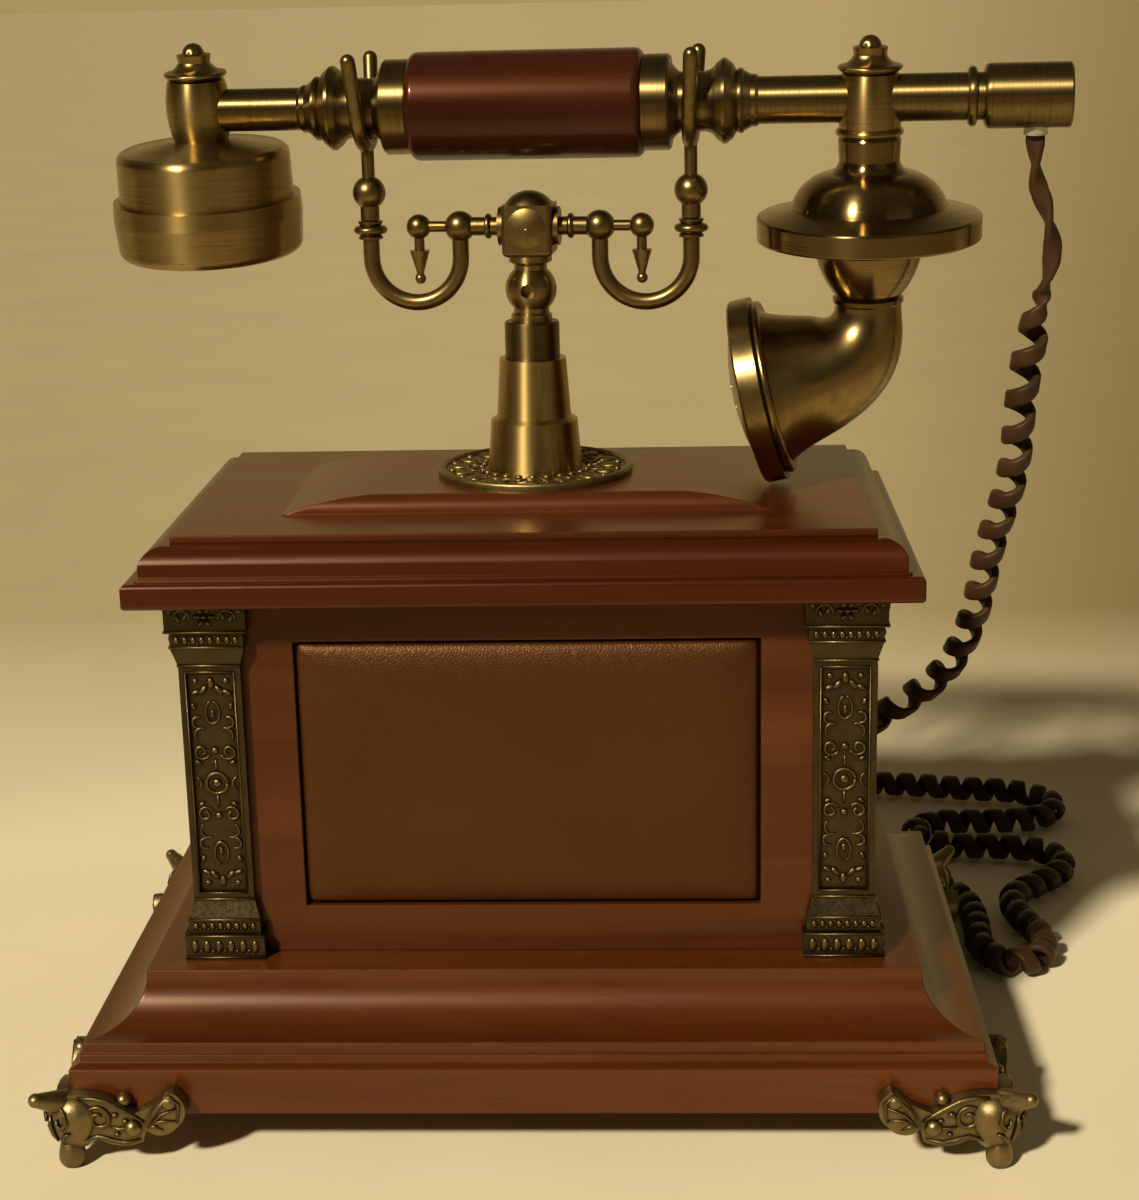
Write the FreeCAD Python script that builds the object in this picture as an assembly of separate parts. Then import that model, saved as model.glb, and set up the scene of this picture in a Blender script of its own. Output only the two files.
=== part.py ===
import FreeCAD, Part
import math
import os

Vec = FreeCAD.Vector
ORIGIN = Vec(0, 0, 0)
X_AXIS = Vec(1, 0, 0)
Y_AXIS = Vec(0, 1, 0)
Z_AXIS = Vec(0, 0, 1)

# Sizes are in millimetres and degrees. The origin is on the table under the middle of the case; the front faces -Y.

# Clearances
FIT = 0.05            # still fits inside one body
RUN_FIT = 0.08        # sliding fits of the plunger and the button
SEAT_GAP = 0.3        # handset resting in its forks, push rod over its button

# Plinth
FOOT_H = 16.0
PLINTH_HALF_W = 132.3
PLINTH_HALF_D = 85.2
BAND_H = 13.5
BAND_SLOPE_H = 1.2
BAND_STEP = 2.8
FILLET_H = 2.3
FILLET_STEP = 0.8
SHELF_H = 3.3
SHELF_STEP = 2.0
COVE_R = 14.2
LIP_H = 1.0
PLATE_T = 3.0
PLATE_MARGIN = 12.0   # rebate of the bottom plate round the plinth's opening

# Case
CASE_HALF_W = 96.5
CASE_HALF_D = 52.0
CASE_H = 110.0
WALL = 10.0

# Leather panel
PAD_W = 132.0
PAD_H = 79.5
PAD_GAP = 0.8
PAD_RECESS = 6.0
PAD_BOARD_T = 2.0
PAD_EDGE_T = 2.6
PAD_ROLL = 4.0

# Corner pilasters
PILASTER_W = 23.3
PILASTER_PROUD = 2.95
PILASTER_STEP = 2.75
TIER_STEP = 1.1
BASE_TIER_H = 7.6
CAPITAL_TIER_H = 10.0
TIER_2_H = 4.8
TAPER_H = 5.6
SHAFT_BORDER = 1.9
SHAFT_SINK = 0.9

# Lid
LID_HALF_W = 110.9
LID_HALF_D = 70.1
LID_BAND_H = 7.4
LID_ROUND = 1.4
LID_GROOVE = 3.4
LID_GROOVE_H = 0.7
LID_STEP = 1.0
LID_STEP_H = 4.0
OVOLO_W = 7.2
OVOLO_H = 4.1
TOP_STEP = 0.6
TOP_SLAB_H = 2.2
FIELD_HALF_W = 71.0
FIELD_HALF_D = 34.0
FIELD_H = 5.0
FIELD_END_W = 28.0
FIELD_EDGE_W = 5.0
TONGUE_H = 4.0

# Post and plunger
POST_X = 1.1          # post's axis beside the middle of the case
ROSETTE_R = 29.2
ROSETTE_T = 1.3
ROSETTE_BEAD_R = 1.1
POST_LOWER_R = 14.15
POST_LOWER_H = 16.0
POST_UPPER_R = 11.1
POST_UPPER_H = 17.3
POST_TAPER = 1.2
POST_FLOOR = 4.0
TAIL_R = 5.0
SLEEVE_R = 8.15
SLEEVE_SHOWN = 11.0
SLEEVE_HIDDEN = 12.0
ROD_R = 2.5
NUT_T = 5.0
NUT_R = 9.0
WASHER_T = 1.5
SPRING_WIRE = 1.2
SPRING_R = 5.2
SPRING_TURNS = 5

# Cradle
CRADLE_YAW = -5.0
STEM_H = 19.3
STEM_BALL_R = 7.6
STEM_BALL_Z = 9.4
STEM_NECK_R = 4.85
STEM_COLLAR_R = 6.4
STEM_HOLE_R = 2.1
CROWN_W = 14.8
CROWN_EDGE_R = 1.6
CROWN_MID = 8.5
CROWN_SHOULDER = 15.0
CROWN_DOME = 3.9
CROWN_BOSS_R = 5.75
CROWN_BOSS_OUT = 1.0
WASHER_R = 5.7
ARM_BALL_R = 4.55
ARM_BALL_X = 20.7
LINK_R = 1.6
DROP_BALL_R = 3.65
DROP_X = 33.0
HOOK_R = 2.45
HOOK_X = 47.5
HOOK_DROP = 8.9       # straight part of the U legs under the arm axis
RING_R = 4.95
FORK_BALL_R = 4.85
FORK_BALL_Z = 10.1
PRONG_R = 2.15
PRONG_LEAN = 16.0
FORK_LEAN = 3.0       # prongs lean away from the grip
PRONG_TOP = 15.8      # height of the prongs over the handset axis

# Handset
HANDSET_RISE = 34.8   # handset axis over the arm axis
HANDSET_ROLL = 5.0
HANDSET_PITCH = -0.25 # the mouthpiece end lies a little higher
HANDSET_SHIFT = 0.2   # handset's middle beside the post's axis
EAR_TWIST = 1.2       # earpiece turned a little further about the handset's axis
GRIP_HALF = 34.0
GRIP_R = 15.5
GRIP_ROUND = 2.6
TUBE_R = 5.0
TUBE_BORE_R = 3.6
FERRULE_R = 13.6
FERRULE_W = 7.7
NECK_R = 8.5
NECK_W = 7.4
RING_BIG_R = 12.1
COLLAR_W = 25.3
SPIGOT_R = 4.0
SPIGOT_L = 8.0
EAR_ARM_R = 6.15
MIC_ARM_R = 6.7
EAR_HUB_X = 97.8
MIC_HUB_X = 98.3
EAR_HUB_R = 9.4
MIC_HUB_R = 9.1
EAR_HUB_TOP = 9.0
EAR_HUB_BOTTOM = 8.4
MIC_HUB_TOP = 7.0
MIC_HUB_BOTTOM = 10.4
FINIAL_R = 8.9
FINIAL_H = 10.6
CUP_R = 25.9
CUP_H = 17.0
CUP_WALL = 2.0
RIM_R = 28.1
RIM_H = 16.6
RIM_PLATE_T = 3.0
EAR_HOLE_R = 1.3
CAPSULE_H = 10.0
DOME_R = 22.5
DOME_H = 22.6
FLANGE_R = 32.4
FLANGE_H = 7.0
FLANGE_SLOPE_H = 3.0
FLANGE_ROUND = 0.8
BRIM_RISE = 2.4        # from the flange's edge up to the foot of the dome
HORN_CUP_R = 15.6
HORN_CUP_H = 16.0
HORN_RING_R = 10.3
HORN_WALL = 1.8
HORN_RIM_R = 27.6
HORN_RIM_W = 9.0
GRILLE_R = 25.5
GRILLE_DOME = 5.3
END_RING_X = 127.2
END_RING_R = 8.4
END_CAP_R = 9.1
END_CAP_L = 24.4
BUSHING_X = 144.8
BUSHING_R = 3.4
BUSHING_OUT = 1.8

# Inside the case
SCREW_R = 1.75
SCREW_L = 11.0
SCREW_HEAD_R = 3.4
SCREW_HEAD_H = 1.8
SWITCH_W = 20.0
SWITCH_D = 12.0
SWITCH_H = 14.0
BRACKET_T = 2.0
BRACKET_EAR = 10.0
BUTTON_R = 2.5
BUTTON_OUT = 4.0
BUTTON_IN = 7.0
ROD_BELOW_NUT = 5.0
BOARD_W = 120.0
BOARD_D = 60.0
BOARD_T = 1.6
STANDOFF_H = 6.0
STANDOFF_R = 3.0
RINGER_R = 12.0
RINGER_H = 8.0
JACK_X = -40.0
JACK_UP = 26.0
JACK_W = 14.0
JACK_H = 12.0
JACK_DEEP = 16.0
JACK_FLANGE = 2.0
SOCKET_W = 9.8
SOCKET_H = 7.0
SOCKET_DEEP = 13.0
GROMMET_X = 15.0
GROMMET_R = 4.0

# Curly cord
CORD_W = 2.4
CURL_R = 3.5
CORD_GAP = 0.4

# Heights and places that follow from the sizes above
PLINTH_TOP = FOOT_H + BAND_H + BAND_SLOPE_H + FILLET_H + SHELF_H + COVE_R + LIP_H
CASE_TOP = PLINTH_TOP + CASE_H
LID_BASE_H = LID_BAND_H + LID_GROOVE_H + LID_STEP_H + OVOLO_H
LID_BASE_TOP = CASE_TOP + LID_BASE_H
LID_TOP = LID_BASE_TOP + TOP_SLAB_H
FIELD_TOP = LID_TOP + FIELD_H
POST_BASE = FIELD_TOP + ROSETTE_T
POST_TOP = POST_BASE + POST_LOWER_H + POST_UPPER_H
SLEEVE_TOP = POST_TOP + SLEEVE_SHOWN
SLEEVE_BOTTOM = POST_TOP - SLEEVE_HIDDEN
CROWN_BASE = SLEEVE_TOP + STEM_H
ARM_Z = CROWN_BASE + CROWN_MID
HANDSET_Z = ARM_Z + HANDSET_RISE
TAIL_BOTTOM = CASE_TOP - TONGUE_H - WASHER_T - NUT_T
ROD_BOTTOM = TAIL_BOTTOM - ROD_BELOW_NUT
OPEN_HALF_W = CASE_HALF_W - WALL
OPEN_HALF_D = CASE_HALF_D - WALL
COLLAR_X = GRIP_HALF + FERRULE_W
COLLAR_END = COLLAR_X + COLLAR_W
CUP_TOP = -EAR_HUB_BOTTOM
RIM_TOP = CUP_TOP - CUP_H
FLANGE_TOP = -MIC_HUB_BOTTOM - DOME_H
HORN_TOP = FLANGE_TOP - FLANGE_H - FLANGE_SLOPE_H - HORN_CUP_H
JACK_Z = PLINTH_TOP + JACK_UP


def box(x0, x1, y0, y1, z0, z1):
    return Part.makeBox(x1 - x0, y1 - y0, z1 - z0, Vec(x0, y0, z0))


def rod(radius, start, end):
    return Part.makeCylinder(radius, start.distanceToPoint(end), start, end - start)


def outline(points):
    """Closed face in the XZ plane. A point is (x, z), or (x, z, via_x, via_z) at the end of an arc."""
    edges = []
    last = Vec(points[0][0], 0, points[0][1])
    for point in points[1:] + [points[0][:2]]:
        here = Vec(point[0], 0, point[1])
        if len(point) == 4:
            edges.append(Part.Arc(last, Vec(point[2], 0, point[3]), here).toShape())
        elif last.distanceToPoint(here) > 1e-6:
            edges.append(Part.LineSegment(last, here).toShape())
        last = here
    return Part.Face(Part.Wire(edges))


def turned(points):
    """Solid of revolution about Z from an outline of (radius, height) points."""
    return outline(points).revolve(ORIGIN, Z_AXIS, 360)


def turned_along_x(points):
    shape = turned(points)
    shape.rotate(ORIGIN, Y_AXIS, 90)
    return shape


def mirrored(half, profile):
    """Outline with both sides from one profile of (set-back, height) points, bottom to top."""
    right = [(half - p[0], p[1]) if len(p) == 2 else (half - p[0], p[1], half - p[2], p[3]) for p in profile]
    left = [(-right[-1][0], right[-1][1])]
    for after, point in zip(reversed(right), list(reversed(right))[1:]):
        via = (-after[2], after[3]) if len(after) == 4 else ()
        left.append((-point[0], point[1]) + via)
    return right + left


def moulded_block(half_w, half_d, side_profile, end_profile=None):
    """Rectangular block with mitred mouldings: front and back follow side_profile, the ends end_profile."""
    ends = outline(mirrored(half_w, end_profile or side_profile)).extrude(Vec(0, 2 * half_d, 0))
    ends.translate(Vec(0, -half_d, 0))
    sides = outline(mirrored(half_d, side_profile)).extrude(Vec(0, 2 * half_w, 0))
    sides.translate(Vec(0, -half_w, 0))
    sides.rotate(ORIGIN, Z_AXIS, 90)
    return ends.common(sides)


def fused(shapes):
    return shapes[0].multiFuse(shapes[1:]).removeSplitter()


def moved(shape, vector):
    copy = shape.copy()
    copy.translate(vector)
    return copy


def at_post(shape):
    return moved(shape, Vec(POST_X, 0, 0))


def flipped(shape, normal):
    return shape.mirror(ORIGIN, normal)


def quarter_via(start, end):
    """Point half way round a quarter arc that leaves start level and reaches end upright."""
    share = math.sin(math.radians(45))
    return (start[0] + (end[0] - start[0]) * share, start[1] + (end[1] - start[1]) * (1 - share))


# Plinth and bottom plate

SCREW_PLACES_PLATE = [
    (sx * (OPEN_HALF_W + PLATE_MARGIN / 2), sy * (OPEN_HALF_D + PLATE_MARGIN / 2))
    for sx in (-1, 1) for sy in (-1, 1)
]
FOOT_SCREW_IN = 12.0
SCREW_PLACES_FOOT = [
    (sx * (PLINTH_HALF_W - FOOT_SCREW_IN), sy * (PLINTH_HALF_D - FOOT_SCREW_IN))
    for sx in (-1, 1) for sy in (-1, 1)
]
SHELF_T = 3.0         # flat lug of a foot under the plinth


def screw(x, y, seat_z):
    """Round-headed screw driven upward, its head under seat_z."""
    profile = [(0, -SCREW_HEAD_H), (SCREW_HEAD_R * 0.6, -SCREW_HEAD_H), (SCREW_HEAD_R, 0),
               (SCREW_R, 0), (SCREW_R, SCREW_L), (0, SCREW_L)]
    return moved(turned(profile), Vec(x, y, seat_z))


def screw_hole(x, y, seat_z):
    return rod(SCREW_R + FIT, Vec(x, y, seat_z - 1), Vec(x, y, seat_z + SCREW_L + 1))


def plinth():
    heights = [FOOT_H]
    for rise in (BAND_H, BAND_SLOPE_H, FILLET_H, SHELF_H, COVE_R, LIP_H):
        heights.append(heights[-1] + rise)
    backs = [0, BAND_STEP, BAND_STEP + FILLET_STEP, BAND_STEP + FILLET_STEP + SHELF_STEP]
    cove_start = (backs[3], heights[4])
    cove_end = (backs[3] + COVE_R, heights[5])
    profile = [(0, heights[0]), (0, heights[1]), (backs[1], heights[2]), (backs[1], heights[3]),
               (backs[2], heights[3]), (backs[2], heights[4]), cove_start,
               cove_end + quarter_via(cove_start, cove_end), (cove_end[0], heights[6])]
    block = moulded_block(PLINTH_HALF_W, PLINTH_HALF_D, profile)
    opening = box(-OPEN_HALF_W, OPEN_HALF_W, -OPEN_HALF_D, OPEN_HALF_D, FOOT_H, PLINTH_TOP)
    block = block.cut(opening).cut(plate_blank(FIT))
    for x, y in SCREW_PLACES_PLATE:
        block = block.cut(screw_hole(x, y, FOOT_H))
    for x, y in SCREW_PLACES_FOOT:
        block = block.cut(screw_hole(x, y, FOOT_H - SHELF_T))
    return block


def plate_blank(grow):
    half_w = OPEN_HALF_W + PLATE_MARGIN + grow
    half_d = OPEN_HALF_D + PLATE_MARGIN + grow
    return box(-half_w, half_w, -half_d, half_d, FOOT_H, FOOT_H + PLATE_T)


def bottom_plate():
    plate = plate_blank(0)
    standoffs = [rod(STANDOFF_R, Vec(x, y, FOOT_H + PLATE_T), Vec(x, y, FOOT_H + PLATE_T + STANDOFF_H))
                 for x in (-BOARD_W / 2 + 5, BOARD_W / 2 - 5) for y in (-BOARD_D / 2 + 5, BOARD_D / 2 - 5)]
    plate = fused([plate] + standoffs)
    for x, y in SCREW_PLACES_PLATE:
        plate = plate.cut(screw_hole(x, y, FOOT_H))
    return plate


def case_screws():
    plate = [screw(x, y, FOOT_H) for x, y in SCREW_PLACES_PLATE]
    feet = [screw(x, y, FOOT_H - SHELF_T) for x, y in SCREW_PLACES_FOOT]
    return Part.makeCompound(plate + feet)


# Feet: two leaf wings on the plinth's band, a shield over the corner, a slender leg and a rounded toe

WING_L = 33.5
WING_T = 4.0
WING_TOP = 23.6
WING_LOW = 8.0
LEAF_T = 1.6          # extra thickness of the leaf that rises at a wing's end
BUD_R = 2.2
SHIELD_R = 8.3
SHIELD_IN = 1.5       # shield's axis inside the corner
EAR_R = 2.1
EAR_OUT = 11.2
TOE_R = 3.8
TOE_H = 8.5
LEG_R = 2.6
TOE_OUT = 1.0         # toe centre outside the plinth's corner


def wing():
    """Wing along +X from the corner, its back on the plane y = 0, standing out towards -Y."""
    notch = (WING_L * 0.56, WING_TOP - 5.6)
    leaf_top = (WING_L - 3.0, WING_TOP + 1.7)
    leaf_low = (WING_L - 2.2, WING_LOW + 6.5)
    gap = (WING_L * 0.67, WING_LOW + 5.8)
    plate = outline([(0, WING_LOW), (WING_L * 0.25, WING_LOW + 2),
                     (WING_L * 0.63, WING_LOW + 1.2, WING_L * 0.47, WING_LOW - 0.2),
                     gap, leaf_low + (WING_L * 0.8, WING_LOW + 4.0),
                     leaf_top + (WING_L + 0.5, WING_TOP - 4.8),
                     notch + (WING_L * 0.69, WING_TOP - 3.8),
                     (0, WING_TOP, WING_L * 0.3, WING_TOP - 0.7)]).extrude(Vec(0, -WING_T, 0))
    leaf = outline([gap, leaf_low + (WING_L * 0.8, WING_LOW + 4.0), leaf_top + (WING_L + 0.5, WING_TOP - 4.8),
                    gap + (WING_L * 0.74, WING_TOP - 3.6)])
    leaf = leaf.extrude(Vec(0, -WING_T - LEAF_T, 0))
    curl = Part.makeSphere(BUD_R * 1.25, Vec(leaf_top[0] - 1.0, -WING_T, leaf_top[1] - 3.2))
    lobe = Part.makeSphere(BUD_R * 1.2, Vec(WING_L * 0.55, -WING_T + 0.4, WING_LOW + 5.6))
    bud = Part.makeSphere(BUD_R, Vec(WING_L * 0.47, -WING_T * 0.4, WING_TOP - 2.4))
    plate = fused([plate, leaf, curl, lobe, bud])
    return plate.common(box(-1, WING_L + 1, -20, 0, 0, 60))


def corner_foot():
    """Foot at the corner x = +half width, y = -half depth."""
    front = wing().mirror(ORIGIN, X_AXIS)
    side = wing()
    side.rotate(ORIGIN, Z_AXIS, 90)
    out = Vec(1, -1, 0) * (1 / math.sqrt(2))
    middle = (WING_TOP + WING_LOW) / 2 + 1
    shield = turned([(0, WING_LOW - 2), (LEG_R + 0.6, WING_LOW - 2),
                     (SHIELD_R, middle, SHIELD_R * 0.82, WING_LOW + 2.6),
                     (SHIELD_R * 0.35, WING_TOP, SHIELD_R * 0.84, WING_TOP - 2.8), (0, WING_TOP)])
    shield.translate(out * -SHIELD_IN)
    ear_tip = out * EAR_OUT + Vec(0, 0, WING_TOP + 0.6)
    ear_root = out * 2.0 + Vec(0, 0, WING_TOP - 3.4)
    ear = Part.makeCone(4.0, EAR_R - 0.1, ear_root.distanceToPoint(ear_tip), ear_root, ear_tip - ear_root)
    ear_ball = Part.makeSphere(EAR_R, ear_tip)
    toe = turned([(0, 0), (TOE_R * 0.6, 0), (TOE_R, TOE_H * 0.45, TOE_R * 0.9, TOE_H * 0.16),
                  (LEG_R, TOE_H, TOE_R * 0.88, TOE_H * 0.76), (0, TOE_H)])
    toe.translate(out * TOE_OUT)
    leg = Part.makeLoft([
        Part.Wire(Part.makeCircle(LEG_R + 2.0, out * -SHIELD_IN + Vec(0, 0, WING_LOW + 4))),
        Part.Wire(Part.makeCircle(LEG_R, out * TOE_OUT + Vec(0, 0, TOE_H - 0.6)))], True)
    lug = box(-FOOT_SCREW_IN - 8, 0, 0, FOOT_SCREW_IN + 8, FOOT_H - SHELF_T, FOOT_H)
    foot = fused([front, side, shield, ear, ear_ball, leg, toe, lug])
    foot.translate(Vec(PLINTH_HALF_W, -PLINTH_HALF_D, 0))
    foot = foot.cut(box(0, PLINTH_HALF_W, -PLINTH_HALF_D, 0, FOOT_H, PLINTH_TOP))
    return foot.cut(screw_hole(PLINTH_HALF_W - FOOT_SCREW_IN, -PLINTH_HALF_D + FOOT_SCREW_IN, FOOT_H - SHELF_T))


# Case boards and pad

def pad_space(grow, back, front):
    """Box in the front board at the pad's place, from depth back to depth front behind the board's face."""
    middle = PLINTH_TOP + CASE_H / 2
    half_w = PAD_W / 2 + grow
    half_h = PAD_H / 2 + grow
    return box(-half_w, half_w, -CASE_HALF_D + front, -CASE_HALF_D + back, middle - half_h, middle + half_h)


def front_panel():
    board = box(-CASE_HALF_W, CASE_HALF_W, -CASE_HALF_D, -OPEN_HALF_D, PLINTH_TOP, CASE_TOP)
    return board.cut(pad_space(PAD_GAP, PAD_RECESS, 0))


def pad_board():
    return pad_space(PAD_GAP - FIT, PAD_RECESS, PAD_RECESS - PAD_BOARD_T)


def front_pad():
    """Padded panel with rolled edges, lying on the board in the recess."""
    roll_end = (PAD_ROLL, PAD_EDGE_T + PAD_ROLL)
    roll_start = (0, PAD_EDGE_T)
    share = math.sin(math.radians(45))
    via = (PAD_ROLL * (1 - share), PAD_EDGE_T + PAD_ROLL * share)
    profile = [(0, 0), roll_start, roll_end + via]
    pad = moulded_block(PAD_W / 2, PAD_H / 2, profile)
    pad.rotate(ORIGIN, X_AXIS, 90)
    back = -CASE_HALF_D + PAD_RECESS - PAD_BOARD_T
    pad.translate(Vec(0, back, PLINTH_TOP + CASE_H / 2))
    return pad


def rear_panel():
    board = box(-CASE_HALF_W, CASE_HALF_W, OPEN_HALF_D, CASE_HALF_D, PLINTH_TOP, CASE_TOP)
    board = board.cut(jack_box(JACK_W / 2 + FIT, JACK_H / 2 + FIT, OPEN_HALF_D - 1, CASE_HALF_D + 1))
    inner = Vec(GROMMET_X, OPEN_HALF_D - 1, JACK_Z)
    outer = Vec(GROMMET_X, CASE_HALF_D + 1, JACK_Z)
    return board.cut(rod(GROMMET_R + FIT, inner, outer))


def side_panel(side):
    low, high = sorted((side * CASE_HALF_W, side * OPEN_HALF_W))
    return box(low, high, -OPEN_HALF_D, OPEN_HALF_D, PLINTH_TOP, CASE_TOP)


def pilaster():
    """Casting round the front right corner: stepped base and capital, shaft with sunk faces."""
    half = PILASTER_W / 2

    def tiers(first_h):
        second = first_h + TIER_2_H
        return [(0, 0), (0, first_h), (TIER_STEP, first_h), (TIER_STEP, second),
                (PILASTER_STEP, second + TAPER_H)]

    base = tiers(BASE_TIER_H)
    capital = [(back, CASE_H - z) for back, z in reversed(tiers(CAPITAL_TIER_H))]
    block = moulded_block(half, half, base + capital)
    low = base[-1][1] + SHAFT_BORDER
    high = capital[0][1] - SHAFT_BORDER
    reach = half - PILASTER_STEP - SHAFT_BORDER
    face = half - PILASTER_STEP - SHAFT_SINK
    block = block.cut(box(-reach, reach, -half, -face, low, high))
    block = block.cut(box(face, half, -reach, reach, low, high))
    out = PILASTER_PROUD + PILASTER_STEP - half
    block.translate(Vec(CASE_HALF_W + out, -CASE_HALF_D - out, PLINTH_TOP))
    return block.cut(box(0, CASE_HALF_W, -CASE_HALF_D, 0, PLINTH_TOP, CASE_TOP))


# Lid

def tail_hole(low, high):
    return rod(TAIL_R + FIT, Vec(0, 0, low - 1), Vec(0, 0, high + 1))


def lid_base():
    share = math.sin(math.radians(45))
    round_via = LID_ROUND * (1 - share)
    groove_z = LID_BAND_H + LID_GROOVE_H
    step_back = LID_GROOVE + LID_STEP
    ovolo_z = groove_z + LID_STEP_H
    ovolo_end = (step_back + OVOLO_W, ovolo_z + OVOLO_H)
    ovolo_via = (step_back + OVOLO_W * 0.36, ovolo_z + OVOLO_H * 0.78)
    profile = [(LID_ROUND, 0), (0, LID_ROUND, round_via, round_via), (0, LID_BAND_H - LID_ROUND),
               (LID_ROUND, LID_BAND_H, round_via, LID_BAND_H - round_via), (LID_GROOVE, LID_BAND_H),
               (LID_GROOVE, groove_z), (step_back, groove_z), (step_back, ovolo_z), ovolo_end + ovolo_via]
    block = moulded_block(LID_HALF_W, LID_HALF_D, profile)
    block.translate(Vec(0, 0, CASE_TOP))
    tongue = box(-OPEN_HALF_W + SEAT_GAP, OPEN_HALF_W - SEAT_GAP, -OPEN_HALF_D + SEAT_GAP,
                 OPEN_HALF_D - SEAT_GAP, CASE_TOP - TONGUE_H, CASE_TOP)
    return fused([block, tongue]).cut(at_post(tail_hole(CASE_TOP - TONGUE_H, LID_BASE_TOP)))


def lid_top_panel():
    back = LID_GROOVE + LID_STEP + OVOLO_W + TOP_STEP
    half_w = LID_HALF_W - back
    half_d = LID_HALF_D - back
    slab = moulded_block(half_w, half_d, [(0, 0), (0, TOP_SLAB_H)])
    field = moulded_block(FIELD_HALF_W, FIELD_HALF_D, field_edge(FIELD_EDGE_W), field_edge(FIELD_END_W))
    panel = fused([slab, field])
    panel.translate(Vec(0, 0, LID_BASE_TOP))
    return panel.cut(at_post(tail_hole(LID_BASE_TOP, FIELD_TOP)))


def field_edge(width):
    """Edge of the raised field: an arc that runs level into the field's top."""
    radius = (width ** 2 + FIELD_H ** 2) / (2 * FIELD_H)
    half_turn = math.atan2(FIELD_H, width)
    via = (width - radius * math.sin(half_turn), TOP_SLAB_H + FIELD_H - radius * (1 - math.cos(half_turn)))
    return [(0, 0), (0, TOP_SLAB_H), (width, TOP_SLAB_H + FIELD_H) + via]


# Post, plunger and switch

def rosette():
    rim = ROSETTE_R - 2 * ROSETTE_BEAD_R
    bead_via = (ROSETTE_R - ROSETTE_BEAD_R, ROSETTE_T + ROSETTE_BEAD_R)
    profile = [(TAIL_R + FIT, 0), (ROSETTE_R, 0), (ROSETTE_R, ROSETTE_T), (rim, ROSETTE_T) + bead_via,
               (TAIL_R + FIT, ROSETTE_T)]
    return moved(turned(profile), Vec(0, 0, FIELD_TOP))


def post():
    bore = SLEEVE_R + RUN_FIT
    rod_bore = ROD_R + RUN_FIT
    shoulder = POST_BASE + POST_LOWER_H
    floor = POST_BASE + POST_FLOOR
    profile = [(rod_bore, TAIL_BOTTOM), (TAIL_R, TAIL_BOTTOM), (TAIL_R, POST_BASE), (POST_LOWER_R, POST_BASE),
               (POST_LOWER_R - POST_TAPER, shoulder - POST_TAPER), (POST_UPPER_R, shoulder),
               (POST_UPPER_R - POST_TAPER, POST_TOP), (bore, POST_TOP), (bore, floor), (rod_bore, floor)]
    return turned(profile)


def post_nut():
    """Washer and hexagon nut on the post's tail, under the lid."""
    top = CASE_TOP - TONGUE_H
    bore = TAIL_R + FIT
    edge = NUT_R + 3
    washer = turned([(bore, top - WASHER_T), (edge, top - WASHER_T), (edge, top), (bore, top)])
    corners = [Vec(NUT_R * math.cos(math.radians(60 * i)), NUT_R * math.sin(math.radians(60 * i)), TAIL_BOTTOM)
               for i in range(7)]
    nut = Part.Face(Part.makePolygon(corners)).extrude(Vec(0, 0, NUT_T))
    return Part.makeCompound([washer, nut.cut(tail_hole(TAIL_BOTTOM, top))])


def plunger():
    profile = [(0, ROD_BOTTOM), (ROD_R, ROD_BOTTOM), (ROD_R, SLEEVE_BOTTOM), (SLEEVE_R, SLEEVE_BOTTOM),
               (SLEEVE_R, SLEEVE_TOP - 0.5), (SLEEVE_R - 0.5, SLEEVE_TOP), (0, SLEEVE_TOP)]
    return turned(profile)


BUTTON_TOP = ROD_BOTTOM - SEAT_GAP
SWITCH_TOP = BUTTON_TOP - BUTTON_OUT
SWITCH_BASE = SWITCH_TOP - SWITCH_H


def hook_switch():
    """Switch body on a bracket whose legs are screwed up under the lid."""
    body = box(-SWITCH_W / 2, SWITCH_W / 2, -SWITCH_D / 2, SWITCH_D / 2, SWITCH_BASE, SWITCH_TOP)
    inner = NUT_R + 5
    outer = inner + BRACKET_T
    under_lid = CASE_TOP - TONGUE_H
    floor = box(-outer, outer, -SWITCH_D / 2, SWITCH_D / 2, SWITCH_BASE - BRACKET_T, SWITCH_BASE)
    legs = [box(min(s * inner, s * outer), max(s * inner, s * outer), -SWITCH_D / 2, SWITCH_D / 2,
                SWITCH_BASE - BRACKET_T, under_lid) for s in (-1, 1)]
    tip = outer + BRACKET_EAR
    ears = [box(min(s * inner, s * tip), max(s * inner, s * tip), -SWITCH_D / 2, SWITCH_D / 2,
                under_lid - BRACKET_T, under_lid) for s in (-1, 1)]
    well = rod(BUTTON_R + RUN_FIT, Vec(0, 0, SWITCH_TOP - BUTTON_IN - SEAT_GAP), Vec(0, 0, SWITCH_TOP + 1))
    return fused([body, floor] + legs + ears).cut(well)


def switch_button():
    return rod(BUTTON_R, Vec(0, 0, SWITCH_TOP - BUTTON_IN), Vec(0, 0, BUTTON_TOP))


def circuit_board():
    base = FOOT_H + PLATE_T + STANDOFF_H
    return box(-BOARD_W / 2, BOARD_W / 2, -BOARD_D / 2, BOARD_D / 2, base, base + BOARD_T)


def ringer():
    base = FOOT_H + PLATE_T + STANDOFF_H + BOARD_T
    profile = [(0, 0), (RINGER_R, 0), (RINGER_R, RINGER_H - 1), (RINGER_R - 1, RINGER_H), (2, RINGER_H),
               (2, RINGER_H - 1.5), (0, RINGER_H - 1.5)]
    return moved(turned(profile), Vec(BOARD_W / 4, 0, base))


# Back of the case

def jack_box(half_w, half_h, y0, y1):
    return box(JACK_X - half_w, JACK_X + half_w, y0, y1, JACK_Z - half_h, JACK_Z + half_h)


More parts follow.
